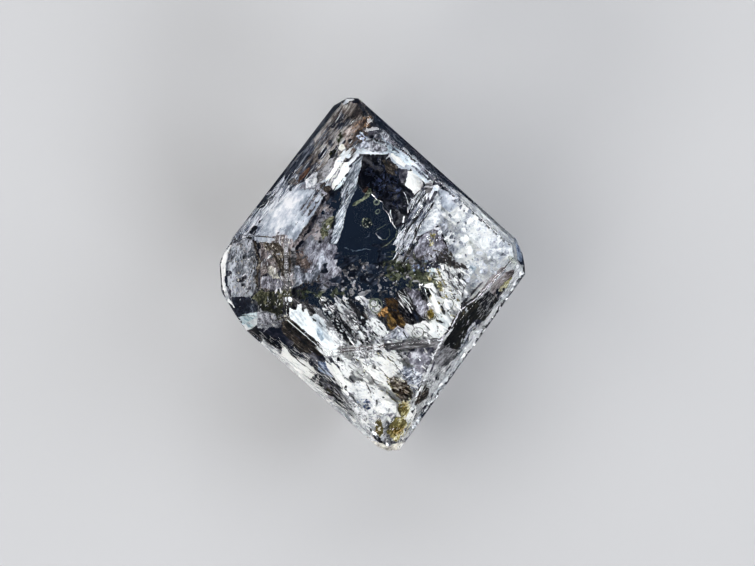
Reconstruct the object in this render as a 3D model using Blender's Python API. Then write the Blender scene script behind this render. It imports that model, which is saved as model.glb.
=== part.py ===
"""Petroleum quartz: one loose, doubly terminated crystal of rock crystal.

The crystal lies on the prism face at its back, so its long axis, the c-axis, runs
along +Y and its big front prism face looks up, along +Z. It is cut the way that a
crystal is described: a block is trimmed by one plane for each face, and each plane
is set by its direction and its distance from the crystal's middle.

Units are metres, +Z is up, and the origin is on the surface that the crystal rests
on, below the middle of its bounding box.
"""

from math import atan, cos, degrees, radians, sin

import bmesh
import bpy
from mathutils import Vector

MM = 0.001

# Driving dimensions. The lengths are distances from the crystal's middle to a face.
THICKNESS = 7.4 * MM            # front prism face to the prism face that it rests on
BLOCK = 24.0 * MM               # edge of the block that the faces are cut from
AXIAL_RATIO = 1.1001            # quartz, c over a

# The six terminal faces at each end lean by this angle from the c-axis.
RHOMB = degrees(atan(AXIAL_RATIO / cos(radians(30.0))))
PRISM = 90.0
UP = 0.0                        # azimuth of the face that looks up
DOWN = 180.0                    # azimuth of the face that the crystal rests on
HALF = THICKNESS / 2.0

# Every face is (name, azimuth, lean, distance). The azimuth turns about the c-axis,
# from +Z towards +X. The lean is the angle between the face's normal and the upper
# end of the c-axis, +Y. A small departure from a multiple of 60 degrees, from PRISM
# or from RHOMB is the vicinal tilt that a face with growth steps has.
PRISM_FACES = (
    ("front", UP, PRISM, HALF),
    ("rest", DOWN, PRISM, HALF),
    ("right_back", 123.0, PRISM, 3.60 * MM),
    ("left_back", -120.0, PRISM, 4.85 * MM),
    ("left_front", -60.0, PRISM - 4.0, 5.05 * MM),
)
UPPER_FACES = (
    ("upper_front", UP, RHOMB, 6.40 * MM),
    ("upper_right_front", 72.0, RHOMB - 3.0, 4.80 * MM),
    ("upper_right_back", 118.0, RHOMB - 0.4, 3.25 * MM),
    ("upper_back", DOWN, RHOMB, 5.20 * MM),
    ("upper_left_back", -120.0, RHOMB, 4.40 * MM),
    ("upper_left_front", -60.0, RHOMB, 5.15 * MM),
)
LOWER_FACES = (
    ("lower_front", UP, 180.0 - RHOMB, 4.30 * MM),
    ("lower_right_front", 46.0, 180.0 - RHOMB, 4.45 * MM),
    ("lower_right_back", 113.0, 173.0 - RHOMB, 3.75 * MM),
    ("lower_back", DOWN, 180.0 - RHOMB, 5.60 * MM),
    ("lower_left_back", -120.0, 180.0 - RHOMB, 4.50 * MM),
    ("lower_left_front", -60.0, 180.0 - RHOMB, 4.55 * MM),
)
# Narrow faces where the sharp girdle corners and both tips are worn and dissolved.
ROUNDED_FACES = (
    ("upper_left_edge", -90.0, RHOMB - 6.0, 5.05 * MM),
    ("upper_left_girdle", -90.0, RHOMB + 5.0, 5.36 * MM),
    ("lower_left_edge", -90.0, 184.0 - RHOMB, 4.70 * MM),
    ("lower_left_corner", -95.0, 117.0, 5.05 * MM),
    ("left_corner", -85.0, PRISM - 3.0, 5.65 * MM),
    ("right_corner", 72.0, PRISM - 7.0, 5.65 * MM),
    ("upper_tip", -90.0, 10.0, 6.70 * MM),
    ("lower_tip", -20.0, 175.0, 6.70 * MM),
    ("lower_left_tip", -90.0, 150.0, 5.85 * MM),
)
FACES = PRISM_FACES + UPPER_FACES + LOWER_FACES + ROUNDED_FACES

COLLECTION_NAME = "petroleum_quartz"
CRYSTAL_NAME = "quartz_crystal"


def clear_scene():
    """Remove the objects that a new file opens with."""
    for item in list(bpy.data.objects):
        bpy.data.objects.remove(item, do_unlink=True)


def face_normal(azimuth, lean):
    """Outward normal of a face, from its two angles in degrees."""
    turn = radians(azimuth)
    tilt = radians(lean)
    return Vector((sin(turn) * sin(tilt), cos(tilt), cos(turn) * sin(tilt)))


def cut_face(bm, name, normal, distance):
    """Trim the block behind one plane, and close the cut with one flat face."""
    geometry = bm.verts[:] + bm.edges[:] + bm.faces[:]
    cut = bmesh.ops.bisect_plane(
        bm,
        geom=geometry,
        dist=1e-7,
        plane_co=normal * distance,
        plane_no=normal,
        clear_outer=True,
    )
    rim = [item for item in cut["geom_cut"] if isinstance(item, bmesh.types.BMEdge)]
    if not rim:
        raise ValueError(f"the {name} face misses the crystal")
    bmesh.ops.contextual_create(bm, geom=rim)


def cut_crystal():
    """One closed faceted body, standing at its place over the origin."""
    bm = bmesh.new()
    bmesh.ops.create_cube(bm, size=BLOCK)
    for name, azimuth, lean, distance in FACES:
        cut_face(bm, name, face_normal(azimuth, lean), distance)
    bmesh.ops.dissolve_degenerate(bm, dist=1e-6, edges=bm.edges[:])
    bmesh.ops.recalc_face_normals(bm, faces=bm.faces[:])
    stand_on_origin(bm)
    return bm


def stand_on_origin(bm):
    """Move the body so that the middle of its underside's box is the origin."""
    across = [vert.co.x for vert in bm.verts]
    along = [vert.co.y for vert in bm.verts]
    lowest = min(vert.co.z for vert in bm.verts)
    middle_x = (min(across) + max(across)) / 2.0
    middle_y = (min(along) + max(along)) / 2.0
    bmesh.ops.translate(bm, verts=bm.verts[:], vec=(-middle_x, -middle_y, -lowest))


def rock_crystal():
    """Clear quartz: colourless, glossy and see-through."""
    material = bpy.data.materials.new("rock_crystal")
    material.use_nodes = True
    shader = material.node_tree.nodes["Principled BSDF"]
    shader.inputs["Base Color"].default_value = (0.93, 0.94, 0.96, 1.0)
    shader.inputs["Metallic"].default_value = 0.0
    shader.inputs["Roughness"].default_value = 0.04
    shader.inputs["IOR"].default_value = 1.544
    shader.inputs["Transmission Weight"].default_value = 1.0
    return material


def main():
    clear_scene()
    collection = bpy.data.collections.new(COLLECTION_NAME)
    bpy.context.scene.collection.children.link(collection)
    body = cut_crystal()
    mesh = bpy.data.meshes.new(CRYSTAL_NAME)
    body.to_mesh(mesh)
    body.free()
    mesh.materials.append(rock_crystal())
    crystal = bpy.data.objects.new(CRYSTAL_NAME, mesh)
    collection.objects.link(crystal)


main()
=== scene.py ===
"""Petroleum quartz: the looks of one loose crystal and of what is sealed inside it."""

from math import atan2, ceil, cos, floor, hypot, pi, radians, sin, sqrt
from random import Random

import bpy
from bpy.props import FloatProperty, FloatVectorProperty, PointerProperty
from mathutils import Matrix, Vector, noise


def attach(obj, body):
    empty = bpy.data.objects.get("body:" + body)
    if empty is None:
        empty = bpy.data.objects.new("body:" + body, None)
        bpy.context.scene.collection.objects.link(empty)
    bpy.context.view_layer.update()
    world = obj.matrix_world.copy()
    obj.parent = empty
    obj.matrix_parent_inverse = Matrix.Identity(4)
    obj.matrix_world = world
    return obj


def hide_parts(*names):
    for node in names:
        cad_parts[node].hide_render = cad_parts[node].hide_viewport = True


bl_info = {
    "name": "Petroleum quartz",
    "version": (1, 0, 0),
    "blender": (4, 5, 0),
    "location": "3D View > Sidebar > Quartz",
    "description": "A clear, doubly terminated quartz crystal with petroleum sealed in it",
    "category": "Add Mesh",
}

MM = 0.001
CRYSTAL_NODE = "quartz_crystal"

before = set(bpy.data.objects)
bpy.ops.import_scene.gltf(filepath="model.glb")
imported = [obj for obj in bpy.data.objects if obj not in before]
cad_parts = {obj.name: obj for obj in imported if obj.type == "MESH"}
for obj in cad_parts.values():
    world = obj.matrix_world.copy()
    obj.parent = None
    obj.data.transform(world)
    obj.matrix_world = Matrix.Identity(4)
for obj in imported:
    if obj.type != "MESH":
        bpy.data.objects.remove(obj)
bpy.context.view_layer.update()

# The line of sight: from above the big front face, leaning a little over two sides.
YAW = radians(8.0)
PITCH = radians(8.0)
ROLL = radians(5.5)
TURN = (
    Matrix.Rotation(ROLL, 3, "Z") @ Matrix.Rotation(PITCH, 3, "X") @ Matrix.Rotation(YAW, 3, "Y")
)
RIGHT, UP, BACK = (TURN[row].copy() for row in range(3))
MIDDLE = Vector((0.120, 0.026, 3.700)) * MM     # where right and up are both zero
EYE_DISTANCE = 200.0 * MM                       # from MIDDLE to the camera
EYE = MIDDLE + BACK * EYE_DISTANCE
VIEW_WIDTH = 27.96 * MM                         # what the camera takes in at MIDDLE
AIM = RIGHT * 0.20 * MM - UP * 0.41 * MM        # from MIDDLE to what the camera centres on
SENSOR_WIDTH = 36.0                             # of the camera, in millimetres
CLIP_START, CLIP_END = 0.01, 10.0               # metres from the camera

# The crystal. Cosines are between the normals of two surfaces that count as one face.
BLOCK = 24.0 * MM               # edge of the block that the crystal is cut from
SAME_FACE = 0.99999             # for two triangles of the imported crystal
FLAT_FACE = 0.9999              # for a corner of the mesh that isn't on a worn edge
CUT_THRESHOLD = 1e-8            # metres: a corner nearer to a cut than this is on it
MERGE_DISTANCE = 0.002 * MM
WORN_SEGMENTS = 2               # across a worn edge
SLICE = 0.25                    # spacing of the cuts across a face, in millimetres
SLICED = ((0, 5.4), (1, 6.6))   # axes that the cuts cross, and how far out they go
SHARP = radians(28.0)           # edges that turn more than this are shaded sharp
TERRACE = 1.7 * MM              # size of the patches of a growth step
LEVELS = 4.0                    # growth steps for one unit of noise
TOP_LEVEL = 2.0                 # growth step that is level with the face
SLOPE = 0.16                    # share of a step that its slope takes up
FINE_RELIEF = 0.25              # height of the fine relief, as a share of a step
FINE_TERRACE = 0.35 * MM

# What is sealed in the crystal.
QUARTZ_IOR = 1.544
OIL_IOR = 1.06                  # oil in quartz: the two bend light almost alike
WALL = 0.12 * MM                # least quartz between what is sealed in it and a face
THIN_WALL = 0.3 * WALL          # the same at the thin edges of the crystal
OIL_DEPTH = 0.35 * MM           # thickness of oil that shows its full colour
OIL_STRENGTH = 1.6              # how strongly that thickness absorbs light
WEAVE = 0.065                   # spacing of the mesh of a veil, in millimetres
WEAVE_JITTER = 0.3              # how far its corners stray, as a share of the spacing
VEIL_THICKNESS = 0.015 * MM
VEIL_GLOSS = 0.1
VEIL_RELIEF = 0.04              # depth of the bump on a veil, in millimetres
FINER = 0.25                    # size of its finer pattern, as a share of the main one
WIDER_SIZE, WIDER_STRETCH = 1.3, 1.4
NO_GAPS = -9.0                  # lower than any noise
SMALL_VEIL = 1.8                # veils less than this across, in millimetres, are less ragged
FINEST_WEAVE = 0.55             # and have a finer mesh, down to this share of the spacing
SMALL_GAPS = 0.6                # and fewer gaps
EDGE_MARGIN = 0.6               # spacings that a veil may reach past its ragged outline
SWELL = 0.6                     # height of its wide swells, as a share of its ripple
SWELL_SIZE, SWELL_STRETCH = 0.7, 1.5
EDGE_SEED, SWELL_SEED, MOTTLE_SEED = 0.37, 0.53, 0.71
SEED_STEP = 7.31                # distance in the noise from one seed to the next
FLAKE_SIDES, FLAKE_RINGS = 8, 4
FLAKE_SHAPES = 6                # different flakes and lumps of a cloud
FLAKE_TILT = 35.0               # most that a flake leans out of the view, in degrees
FLAKE_THICKNESS = 0.02          # in millimetres, as the next one
BITUMEN_THICKNESS = 0.03
BITUMEN_SLIMNESS = (0.18, 0.5)  # width for its length
LUMP_BULGES = 3.0               # bulges across a lump
SLIVER_SPACING = 2.0            # slivers of a broken line: these are widths of the line
SLIVER_LENGTHS = (2.6, 4.2)
SLIVER_WIDTHS = (0.6, 1.3)
SLIVER_WANDER = 0.4
SLIVER_LOSS = 0.15              # share of the slivers that is missing
SLIVER_TURN = 0.25              # most that a sliver turns off its line, in radians
SLIVER_TILT = 0.5               # most that it leans out of the view, in radians
RING_SIDES, RING_RIM_SIDES = 28, 6
RING_SQUASH = (2.0, 1.8, 1.6)   # length, width and height of a ring, in radii
RING_TURN, RING_TILT = 0.6, 0.3     # radians from ring to ring, and out of the view
SKIN_RELIEF = 0.02              # depth of the bump on clear matter, in millimetres
POLE = 1e-4                     # corners of a flake nearer to its axis than this are its poles


def fractal(place, octaves, roughness=0.8, step=2.1):
    """Layered noise, from about -1 to 1."""
    return noise.fractal(place, roughness, step, octaves)


def face_planes():
    """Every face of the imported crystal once, as its normal and its distance from MIDDLE."""
    planes = []
    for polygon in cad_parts[CRYSTAL_NODE].data.polygons:
        normal = polygon.normal.copy()
        if all(known.dot(normal) < SAME_FACE for known, _ in planes):
            planes.append((normal, normal.dot(polygon.center - MIDDLE)))
    return planes


PLANES = face_planes()


def sight(right, up, entered=None):
    """Entry face, point and direction inside, and where a line of sight starts and ends.

    The line goes from the eye through (right, up), in millimetres on the plane through
    MIDDLE, and bends at the face where it enters the crystal, or at the plane of a face
    that is given.
    """
    ray = (MIDDLE + (RIGHT * right + UP * up) * MM - EYE).normalized()
    reaches = [
        (d - n.dot(EYE - MIDDLE)) / n.dot(ray) if n.dot(ray) < 0.0 else 0.0 for n, d in PLANES
    ]
    if entered is None:
        entered = reaches.index(max(reaches))
    normal = PLANES[entered][0]
    entry = EYE + ray * reaches[entered]
    ratio = 1.0 / QUARTZ_IOR
    slope = -normal.dot(ray)
    bent = ray * ratio + normal * (ratio * slope - sqrt(1.0 - ratio**2 * (1.0 - slope**2)))
    ends = [(n.dot(bent), (d - n.dot(entry - MIDDLE)) / n.dot(bent)) for n, d in PLANES]
    near = max(end for lean, end in ends if lean < 0.0)
    far = min(end for lean, end in ends if lean > 0.0)
    return entered, entry, bent, near, far


def seen(right, up, depth, entered=None):
    """The point that shows at (right, up), at a depth in millimetres, and its entry face.

    The point is None where the crystal is missing or too thin to seal anything in.
    """
    entered, entry, bent, near, far = sight(right, up, entered)
    wall = min(WALL, (far - near) / 2.0)
    if wall < THIN_WALL:
        return None, entered
    return entry + bent * min(max(depth * MM, near + wall), far - wall), entered


def select_none():
    """Leave edit mode, and deselect every object."""
    if bpy.context.object and bpy.context.object.mode != "OBJECT":
        bpy.ops.object.mode_set(mode="OBJECT")
    bpy.ops.object.select_all(action="DESELECT")


def seal_in(piece, material):
    """Finish a piece that is sealed in the crystal."""
    piece.data.materials.clear()
    piece.data.materials.append(material)
    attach(piece, "root")


def points(numbers):
    """An outline or a path, as (right, up) points in millimetres.

    The numbers are hundredths of a millimetre, right and up by turns.
    """
    return [(right / 100.0, up / 100.0) for right, up in zip(numbers[::2], numbers[1::2])]


def inside(outline, right, up):
    """Whether a point is inside an outline, by the crossings of a line to the right."""
    crossings = 0
    for (x1, y1), (x2, y2) in zip(outline, outline[1:] + outline[:1]):
        if (y1 > up) != (y2 > up) and right < (x2 - x1) * (up - y1) / (y2 - y1) + x1:
            crossings += 1
    return crossings % 2 == 1


def near_inside(outline, right, up, margin):
    """Whether a point is inside an outline, or beside it within a margin."""
    return inside(outline, right, up) or any(
        inside(outline, right + margin * cos(turn), up + margin * sin(turn))
        for turn in (0.0, pi / 2.0, pi, -pi / 2.0)
    )


def reach(outline):
    """Least and greatest right, and least and greatest up, of an outline."""
    rights, ups = zip(*outline)
    return min(rights), max(rights), min(ups), max(ups)


def grain(right, up, size, stretch, angle, seed):
    """Noise from about -1 to 1, in patches of a size stretched along an angle in view."""
    turn = radians(angle)
    along = (right * cos(turn) + up * sin(turn)) / (size * stretch)
    across = (up * cos(turn) - right * sin(turn)) / size
    return fractal(Vector((along, across, seed * SEED_STEP)), 4)


def weft(name, columns, rows):
    """A flat grid, two units wide and high."""
    select_none()
    bpy.ops.mesh.primitive_grid_add(x_subdivisions=columns, y_subdivisions=rows, size=2.0)
    piece = bpy.context.object
    piece.name = piece.data.name = name
    return piece


def keep_places(piece, places):
    """Move the vertices of a grid to their places, and delete those that have none."""
    select_none()
    piece.select_set(True)
    bpy.context.view_layer.objects.active = piece
    for index, point in places.items():
        piece.data.vertices[index].co = point
    bpy.ops.object.mode_set(mode="EDIT")
    bpy.ops.mesh.select_mode(type="VERT")
    bpy.ops.mesh.select_all(action="DESELECT")
    bpy.ops.object.mode_set(mode="OBJECT")
    for vertex in piece.data.vertices:
        vertex.select = vertex.index not in places
    bpy.ops.object.mode_set(mode="EDIT")
    bpy.ops.mesh.delete(type="VERT")
    bpy.ops.mesh.select_all(action="SELECT")
    bpy.ops.mesh.delete_loose()
    bpy.ops.mesh.select_all(action="DESELECT")
    bpy.ops.mesh.select_non_manifold(
        extend=False, use_wire=False, use_multi_face=False, use_non_contiguous=False, use_verts=False
    )
    bpy.ops.mesh.vertices_smooth(factor=0.5, repeat=2)
    bpy.ops.object.mode_set(mode="OBJECT")


def joined(name, parts):
    """One piece from the parts of a veil that have any mesh left."""
    whole = [part for part in parts if part.data.polygons]
    if not whole:
        raise ValueError(f"{name} has no mesh left inside its outline")
    if len(whole) < len(parts):
        select_none()
        for part in parts:
            part.select_set(part not in whole)
        bpy.ops.object.delete()
    select_none()
    for part in whole:
        part.select_set(True)
    piece = whole[0]
    bpy.context.view_layer.objects.active = piece
    if len(whole) > 1:
        bpy.ops.object.join()
    piece.name = piece.data.name = name
    return piece


def sheet(
    name, outline, depth, seed, size, stretch=1.0, angle=0.0, ragged=0.12, ripple=0.08,
    gaps=NO_GAPS, weave=1.0, **_colouring,
):
    """A thin, rippled veil with a ragged outline and with gaps where its grain is low.

    Where the eye sees it through several faces it has a part for each of them, because
    every face bends the lines of sight its own way. The parts overlap a little.
    """
    chance = Random(seed)
    left, right_end, low, high_end = reach(outline)
    small = min(sqrt((right_end - left) * (high_end - low)) / SMALL_VEIL, 1.0)
    ragged *= small
    gaps -= SMALL_GAPS * (1.0 - small)
    spacing = WEAVE * max(small, FINEST_WEAVE) * weave
    jitter = (-WEAVE_JITTER, WEAVE_JITTER)
    left, low = left - ragged, low - ragged
    wide, high = right_end + ragged - left, high_end + ragged - low
    columns, rows = ceil(wide / spacing), ceil(high / spacing)
    places, entries = {}, {}
    piece = weft(name, columns, rows)
    for vertex in piece.data.vertices:
        right = left + (vertex.co.x + 1.0) / 2.0 * wide + chance.uniform(*jitter) * spacing
        up = low + (vertex.co.y + 1.0) / 2.0 * high + chance.uniform(*jitter) * spacing
        edge = (
            right + ragged * grain(right, up, size, stretch, angle, seed),
            up + ragged * grain(right, up, size, stretch, angle, seed + EDGE_SEED),
        )
        mottle = grain(right, up, size, stretch, angle, seed + MOTTLE_SEED)
        if mottle < gaps or not near_inside(outline, *edge, EDGE_MARGIN * spacing):
            continue
        swell = SWELL * grain(right, up, SWELL_SIZE, SWELL_STRETCH, angle, seed + SWELL_SEED)
        down = depth + ripple * (mottle + swell)
        point, face = seen(right, up, down)
        if point is not None:
            places[vertex.index] = (right, up, down)
            entries[vertex.index] = face
    if not places:
        raise ValueError(f"{name} is not inside the crystal")
    faces = sorted(set(entries.values()))
    parts = [piece] + [weft(f"{name}_part", columns, rows) for _ in faces[1:]]
    steps = [column + row * (columns + 1) for column in (-1, 0, 1) for row in (-1, 0, 1)]
    for part, face in zip(parts, faces):
        near = [v for v in places if face in {entries.get(v + step) for step in steps}]
        spots = {v: seen(*places[v], face)[0] for v in near}
        keep_places(part, {v: spot for v, spot in spots.items() if spot is not None})
    piece = joined(name, parts)
    solidify = piece.modifiers.new("Solidify", "SOLIDIFY")
    solidify.thickness = VEIL_THICKNESS
    solidify.offset = 0.0
    bpy.ops.object.modifier_apply(modifier=solidify.name)
    return piece


def take_shape(piece):
    """The corners and sides of an object, which is removed."""
    shape = (
        [vertex.co.copy() for vertex in piece.data.vertices],
        [polygon.vertices[:] for polygon in piece.data.polygons],
    )
    bpy.data.objects.remove(piece)
    return shape


def flake_shapes(ragged, seed):
    """A few ragged flat flakes, one unit across, as mesh data to copy."""
    chance = Random(seed)
    shapes = []
    for _ in range(FLAKE_SHAPES):
        select_none()
        bpy.ops.mesh.primitive_uv_sphere_add(
            segments=FLAKE_SIDES, ring_count=FLAKE_RINGS, radius=0.5
        )
        flake = bpy.context.object
        around = [1.0 + chance.uniform(-ragged, ragged) for _ in range(FLAKE_SIDES)]
        for vertex in flake.data.vertices:
            if hypot(vertex.co.x, vertex.co.y) > POLE:
                turn = round(atan2(vertex.co.y, vertex.co.x) / (2.0 * pi) * FLAKE_SIDES)
                vertex.co.x *= around[turn % FLAKE_SIDES]
                vertex.co.y *= around[turn % FLAKE_SIDES]
        shapes.append(take_shape(flake))
    return shapes


def lump_shapes(count, subdivisions, rough, seed):
    """A few uneven round lumps, one unit across, as mesh data to copy."""
    shapes = []
    for number in range(count):
        select_none()
        bpy.ops.mesh.primitive_ico_sphere_add(subdivisions=subdivisions, radius=0.5)
        lump = bpy.context.object
        for vertex in lump.data.vertices:
            bulge = fractal(vertex.co * LUMP_BULGES + Vector((seed, number, 0.0)), 3)
            vertex.co *= 1.0 + rough * bulge
        shapes.append(take_shape(lump))
    return shapes


def ring_shape(thin):
    """A ring, one unit across its middle line, as mesh data to copy."""
    select_none()
    bpy.ops.mesh.primitive_torus_add(
        major_segments=RING_SIDES, minor_segments=RING_RIM_SIDES,
        major_radius=0.5, minor_radius=0.5 * thin,
    )
    return take_shape(bpy.context.object)


def copies(name, shapes, places):
    """One object of many copies of a few shapes, each under its own matrix."""
    corners, faces = [], []
    for count, place in enumerate(places):
        shape_corners, sides = shapes[count % len(shapes)]
        start = len(corners)
        corners += [place @ corner for corner in shape_corners]
        faces += [[start + index for index in side] for side in sides]
    mesh = bpy.data.meshes.new(name)
    mesh.from_pydata(corners, [], faces)
    piece = bpy.data.objects.new(name, mesh)
    bpy.context.scene.collection.objects.link(piece)
    return piece


def flake_place(point, angle, tilt, turn, size):
    """Matrix of a flake at a point: its length along an angle in view, its face tilted."""
    along = RIGHT * cos(angle) + UP * sin(angle)
    facing = Matrix.Rotation(tilt, 3, Matrix.Rotation(turn, 3, BACK) @ along) @ BACK
    along = (along - facing * along.dot(facing)).normalized()
    across = facing.cross(along)
    turned = Matrix((along, across, facing)).transposed()
    return Matrix.LocRotScale(point, turned, Vector(size) * MM)


def cloud(outline, count, depths, lengths, slim, angle, spread, seed, thin=FLAKE_THICKNESS):
    """Places of the flakes of a cloud: strewn in an outline, between two depths."""
    chance = Random(seed)
    left, right_end, low, high = reach(outline)
    places = []
    while len(places) < count:
        right = chance.uniform(left, right_end)
        up = chance.uniform(low, high)
        point, _ = seen(right, up, chance.uniform(*depths))
        if point is None or not inside(outline, right, up):
            continue
        length = lengths[0] * (lengths[1] / lengths[0]) ** chance.random()
        places.append(
            flake_place(
                point,
                radians(angle + chance.gauss(0.0, spread)),
                radians(chance.uniform(-FLAKE_TILT, FLAKE_TILT)),
                chance.uniform(0.0, pi),
                (length, length * chance.uniform(*slim), thin),
            )
        )
    return places


def trail(path, depth, width, seed):
    """Places of the slivers that make up a thin broken line along a path."""
    chance = Random(seed)
    places = []
    for (x1, y1), (x2, y2) in zip(path, path[1:]):
        angle = atan2(y2 - y1, x2 - x1)
        count = max(1, round(hypot(x2 - x1, y2 - y1) / (width * SLIVER_SPACING)))
        for step in range(count):
            if chance.random() < SLIVER_LOSS:
                continue
            part = (step + 0.5) / count
            right = x1 + (x2 - x1) * part + chance.uniform(-1.0, 1.0) * SLIVER_WANDER * width
            up = y1 + (y2 - y1) * part + chance.uniform(-1.0, 1.0) * SLIVER_WANDER * width
            length = width * chance.uniform(*SLIVER_LENGTHS)
            size = (length, width * chance.uniform(*SLIVER_WIDTHS), FLAKE_THICKNESS)
            turn = angle + chance.uniform(-SLIVER_TURN, SLIVER_TURN)
            tilt = chance.uniform(-SLIVER_TILT, SLIVER_TILT)
            point, _ = seen(right, up, depth)
            if point is not None:
                places.append(flake_place(point, turn, tilt, 0.0, size))
    return places


def set_sockets(node, **values):
    """Set sockets of a node by name, with underscores for the spaces."""
    for key, value in values.items():
        node.inputs[key.replace("_", " ")].default_value = value


def new_material(name, **sockets):
    """A Principled material with some of its sockets set, its nodes and its shader."""
    material = bpy.data.materials.new(name)
    material.use_nodes = True
    tree = material.node_tree
    shader = tree.nodes["Principled BSDF"]
    set_sockets(shader, **sockets)
    return material, tree, shader


def placed(tree, stretch=1.0, angle=0.0):
    """Object coordinates about the crystal's middle, stretched along an angle in view."""
    place = tree.nodes.new("ShaderNodeTexCoord")
    mapping = tree.nodes.new("ShaderNodeMapping")
    mapping.vector_type = "TEXTURE"
    turned = (0.0, 0.0, radians(angle) - ROLL)
    set_sockets(mapping, Location=MIDDLE, Rotation=turned, Scale=(stretch, 1.0, 1.0))
    tree.links.new(place.outputs["Object"], mapping.inputs["Vector"])
    return mapping.outputs["Vector"]


def mottling(tree, where, size, **values):
    """Noise with features of about a size, in millimetres."""
    made = tree.nodes.new("ShaderNodeTexNoise")
    set_sockets(made, Scale=1.0 / (size * MM), **values)
    tree.links.new(where, made.inputs["Vector"])
    return made.outputs["Fac"]


def ramp(tree, source, stops):
    """A colour ramp through (position, colour) stops."""
    made = tree.nodes.new("ShaderNodeValToRGB")
    elements = made.color_ramp.elements
    while len(elements) < len(stops):
        elements.new(0.5)
    for element, (position, colour) in zip(elements, stops):
        element.position = position
        element.color = (*colour, 1.0)
    tree.links.new(source, made.inputs["Fac"])
    return made.outputs["Color"]


def relief(tree, shader, height, depth, strength=1.0):
    """Bump of a given depth in millimetres."""
    bump = tree.nodes.new("ShaderNodeBump")
    set_sockets(bump, Strength=strength, Distance=depth * MM)
    tree.links.new(height, bump.inputs["Height"])
    tree.links.new(bump.outputs["Normal"], shader.inputs["Normal"])


def clear(name, ior, roughness, wave, detail, strength, density, colour):
    """See-through matter with a faintly wavy skin, which tints light on its way through."""
    material, tree, shader = new_material(
        name, Base_Color=(1.0, 1.0, 1.0, 1.0), IOR=ior, Transmission_Weight=1.0,
        Roughness=roughness,
    )
    skin = mottling(tree, placed(tree), wave, Detail=detail)
    relief(tree, shader, skin, SKIN_RELIEF, strength)
    body = tree.nodes.new("ShaderNodeVolumeAbsorption")
    set_sockets(body, Density=density, Color=(*colour, 1.0))
    tree.links.new(body.outputs["Volume"], tree.nodes["Material Output"].inputs["Volume"])
    return material


def speckled(name, stops, size, detail, depth, **sockets):
    """A slight mottling in a few colours, for what is only a line, a dot or a lump."""
    material, tree, shader = new_material(name, **sockets)
    mottle = mottling(tree, placed(tree), size, Detail=detail)
    tree.links.new(ramp(tree, mottle, stops), shader.inputs["Base Color"])
    relief(tree, shader, mottle, depth)
    return material


def line_finish(name, colour, shine, roughness):
    """One colour with darker spots."""
    stops = ((0.38, tuple(part * 0.6 for part in colour)), (0.58, colour))
    return speckled(
        name, stops, size=0.12, detail=3.0, depth=0.01, Metallic=shine, Roughness=roughness
    )


def veil(
    name, stops, size, stretch=1.0, angle=0.0, shine=0.0, roughness=0.4, speckle=0.35,
    drift=0.6, detail=5.0, **_shape,
):
    """Mottling of a veil, with a finer and a wider pattern: mostly a healed crack full of tiny bubbles,
    while the blaze and rim finishes are partly painted highlight and the shadow finish is painted
    shade.
    """
    material, tree, shader = new_material(
        name, Metallic=shine, Roughness=roughness, Specular_IOR_Level=VEIL_GLOSS
    )
    where = placed(tree, stretch, angle)
    total = mottling(tree, where, size, Detail=detail, Roughness=0.65)
    finer = mottling(tree, where, size * FINER, Detail=2.0)
    wider = mottling(tree, placed(tree, WIDER_STRETCH, angle), WIDER_SIZE, Detail=2.0)
    for weight, source in ((speckle, finer), (drift, wider)):
        centred = tree.nodes.new("ShaderNodeMath")
        centred.operation = "SUBTRACT"
        centred.inputs[1].default_value = 0.5
        tree.links.new(source, centred.inputs[0])
        mixed = tree.nodes.new("ShaderNodeMath")
        mixed.operation = "MULTIPLY_ADD"
        mixed.inputs[1].default_value = weight
        tree.links.new(centred.outputs[0], mixed.inputs[0])
        tree.links.new(total, mixed.inputs[2])
        total = mixed.outputs[0]
    tree.links.new(ramp(tree, total, stops), shader.inputs["Base Color"])
    relief(tree, shader, total, VEIL_RELIEF)
    return material


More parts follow.
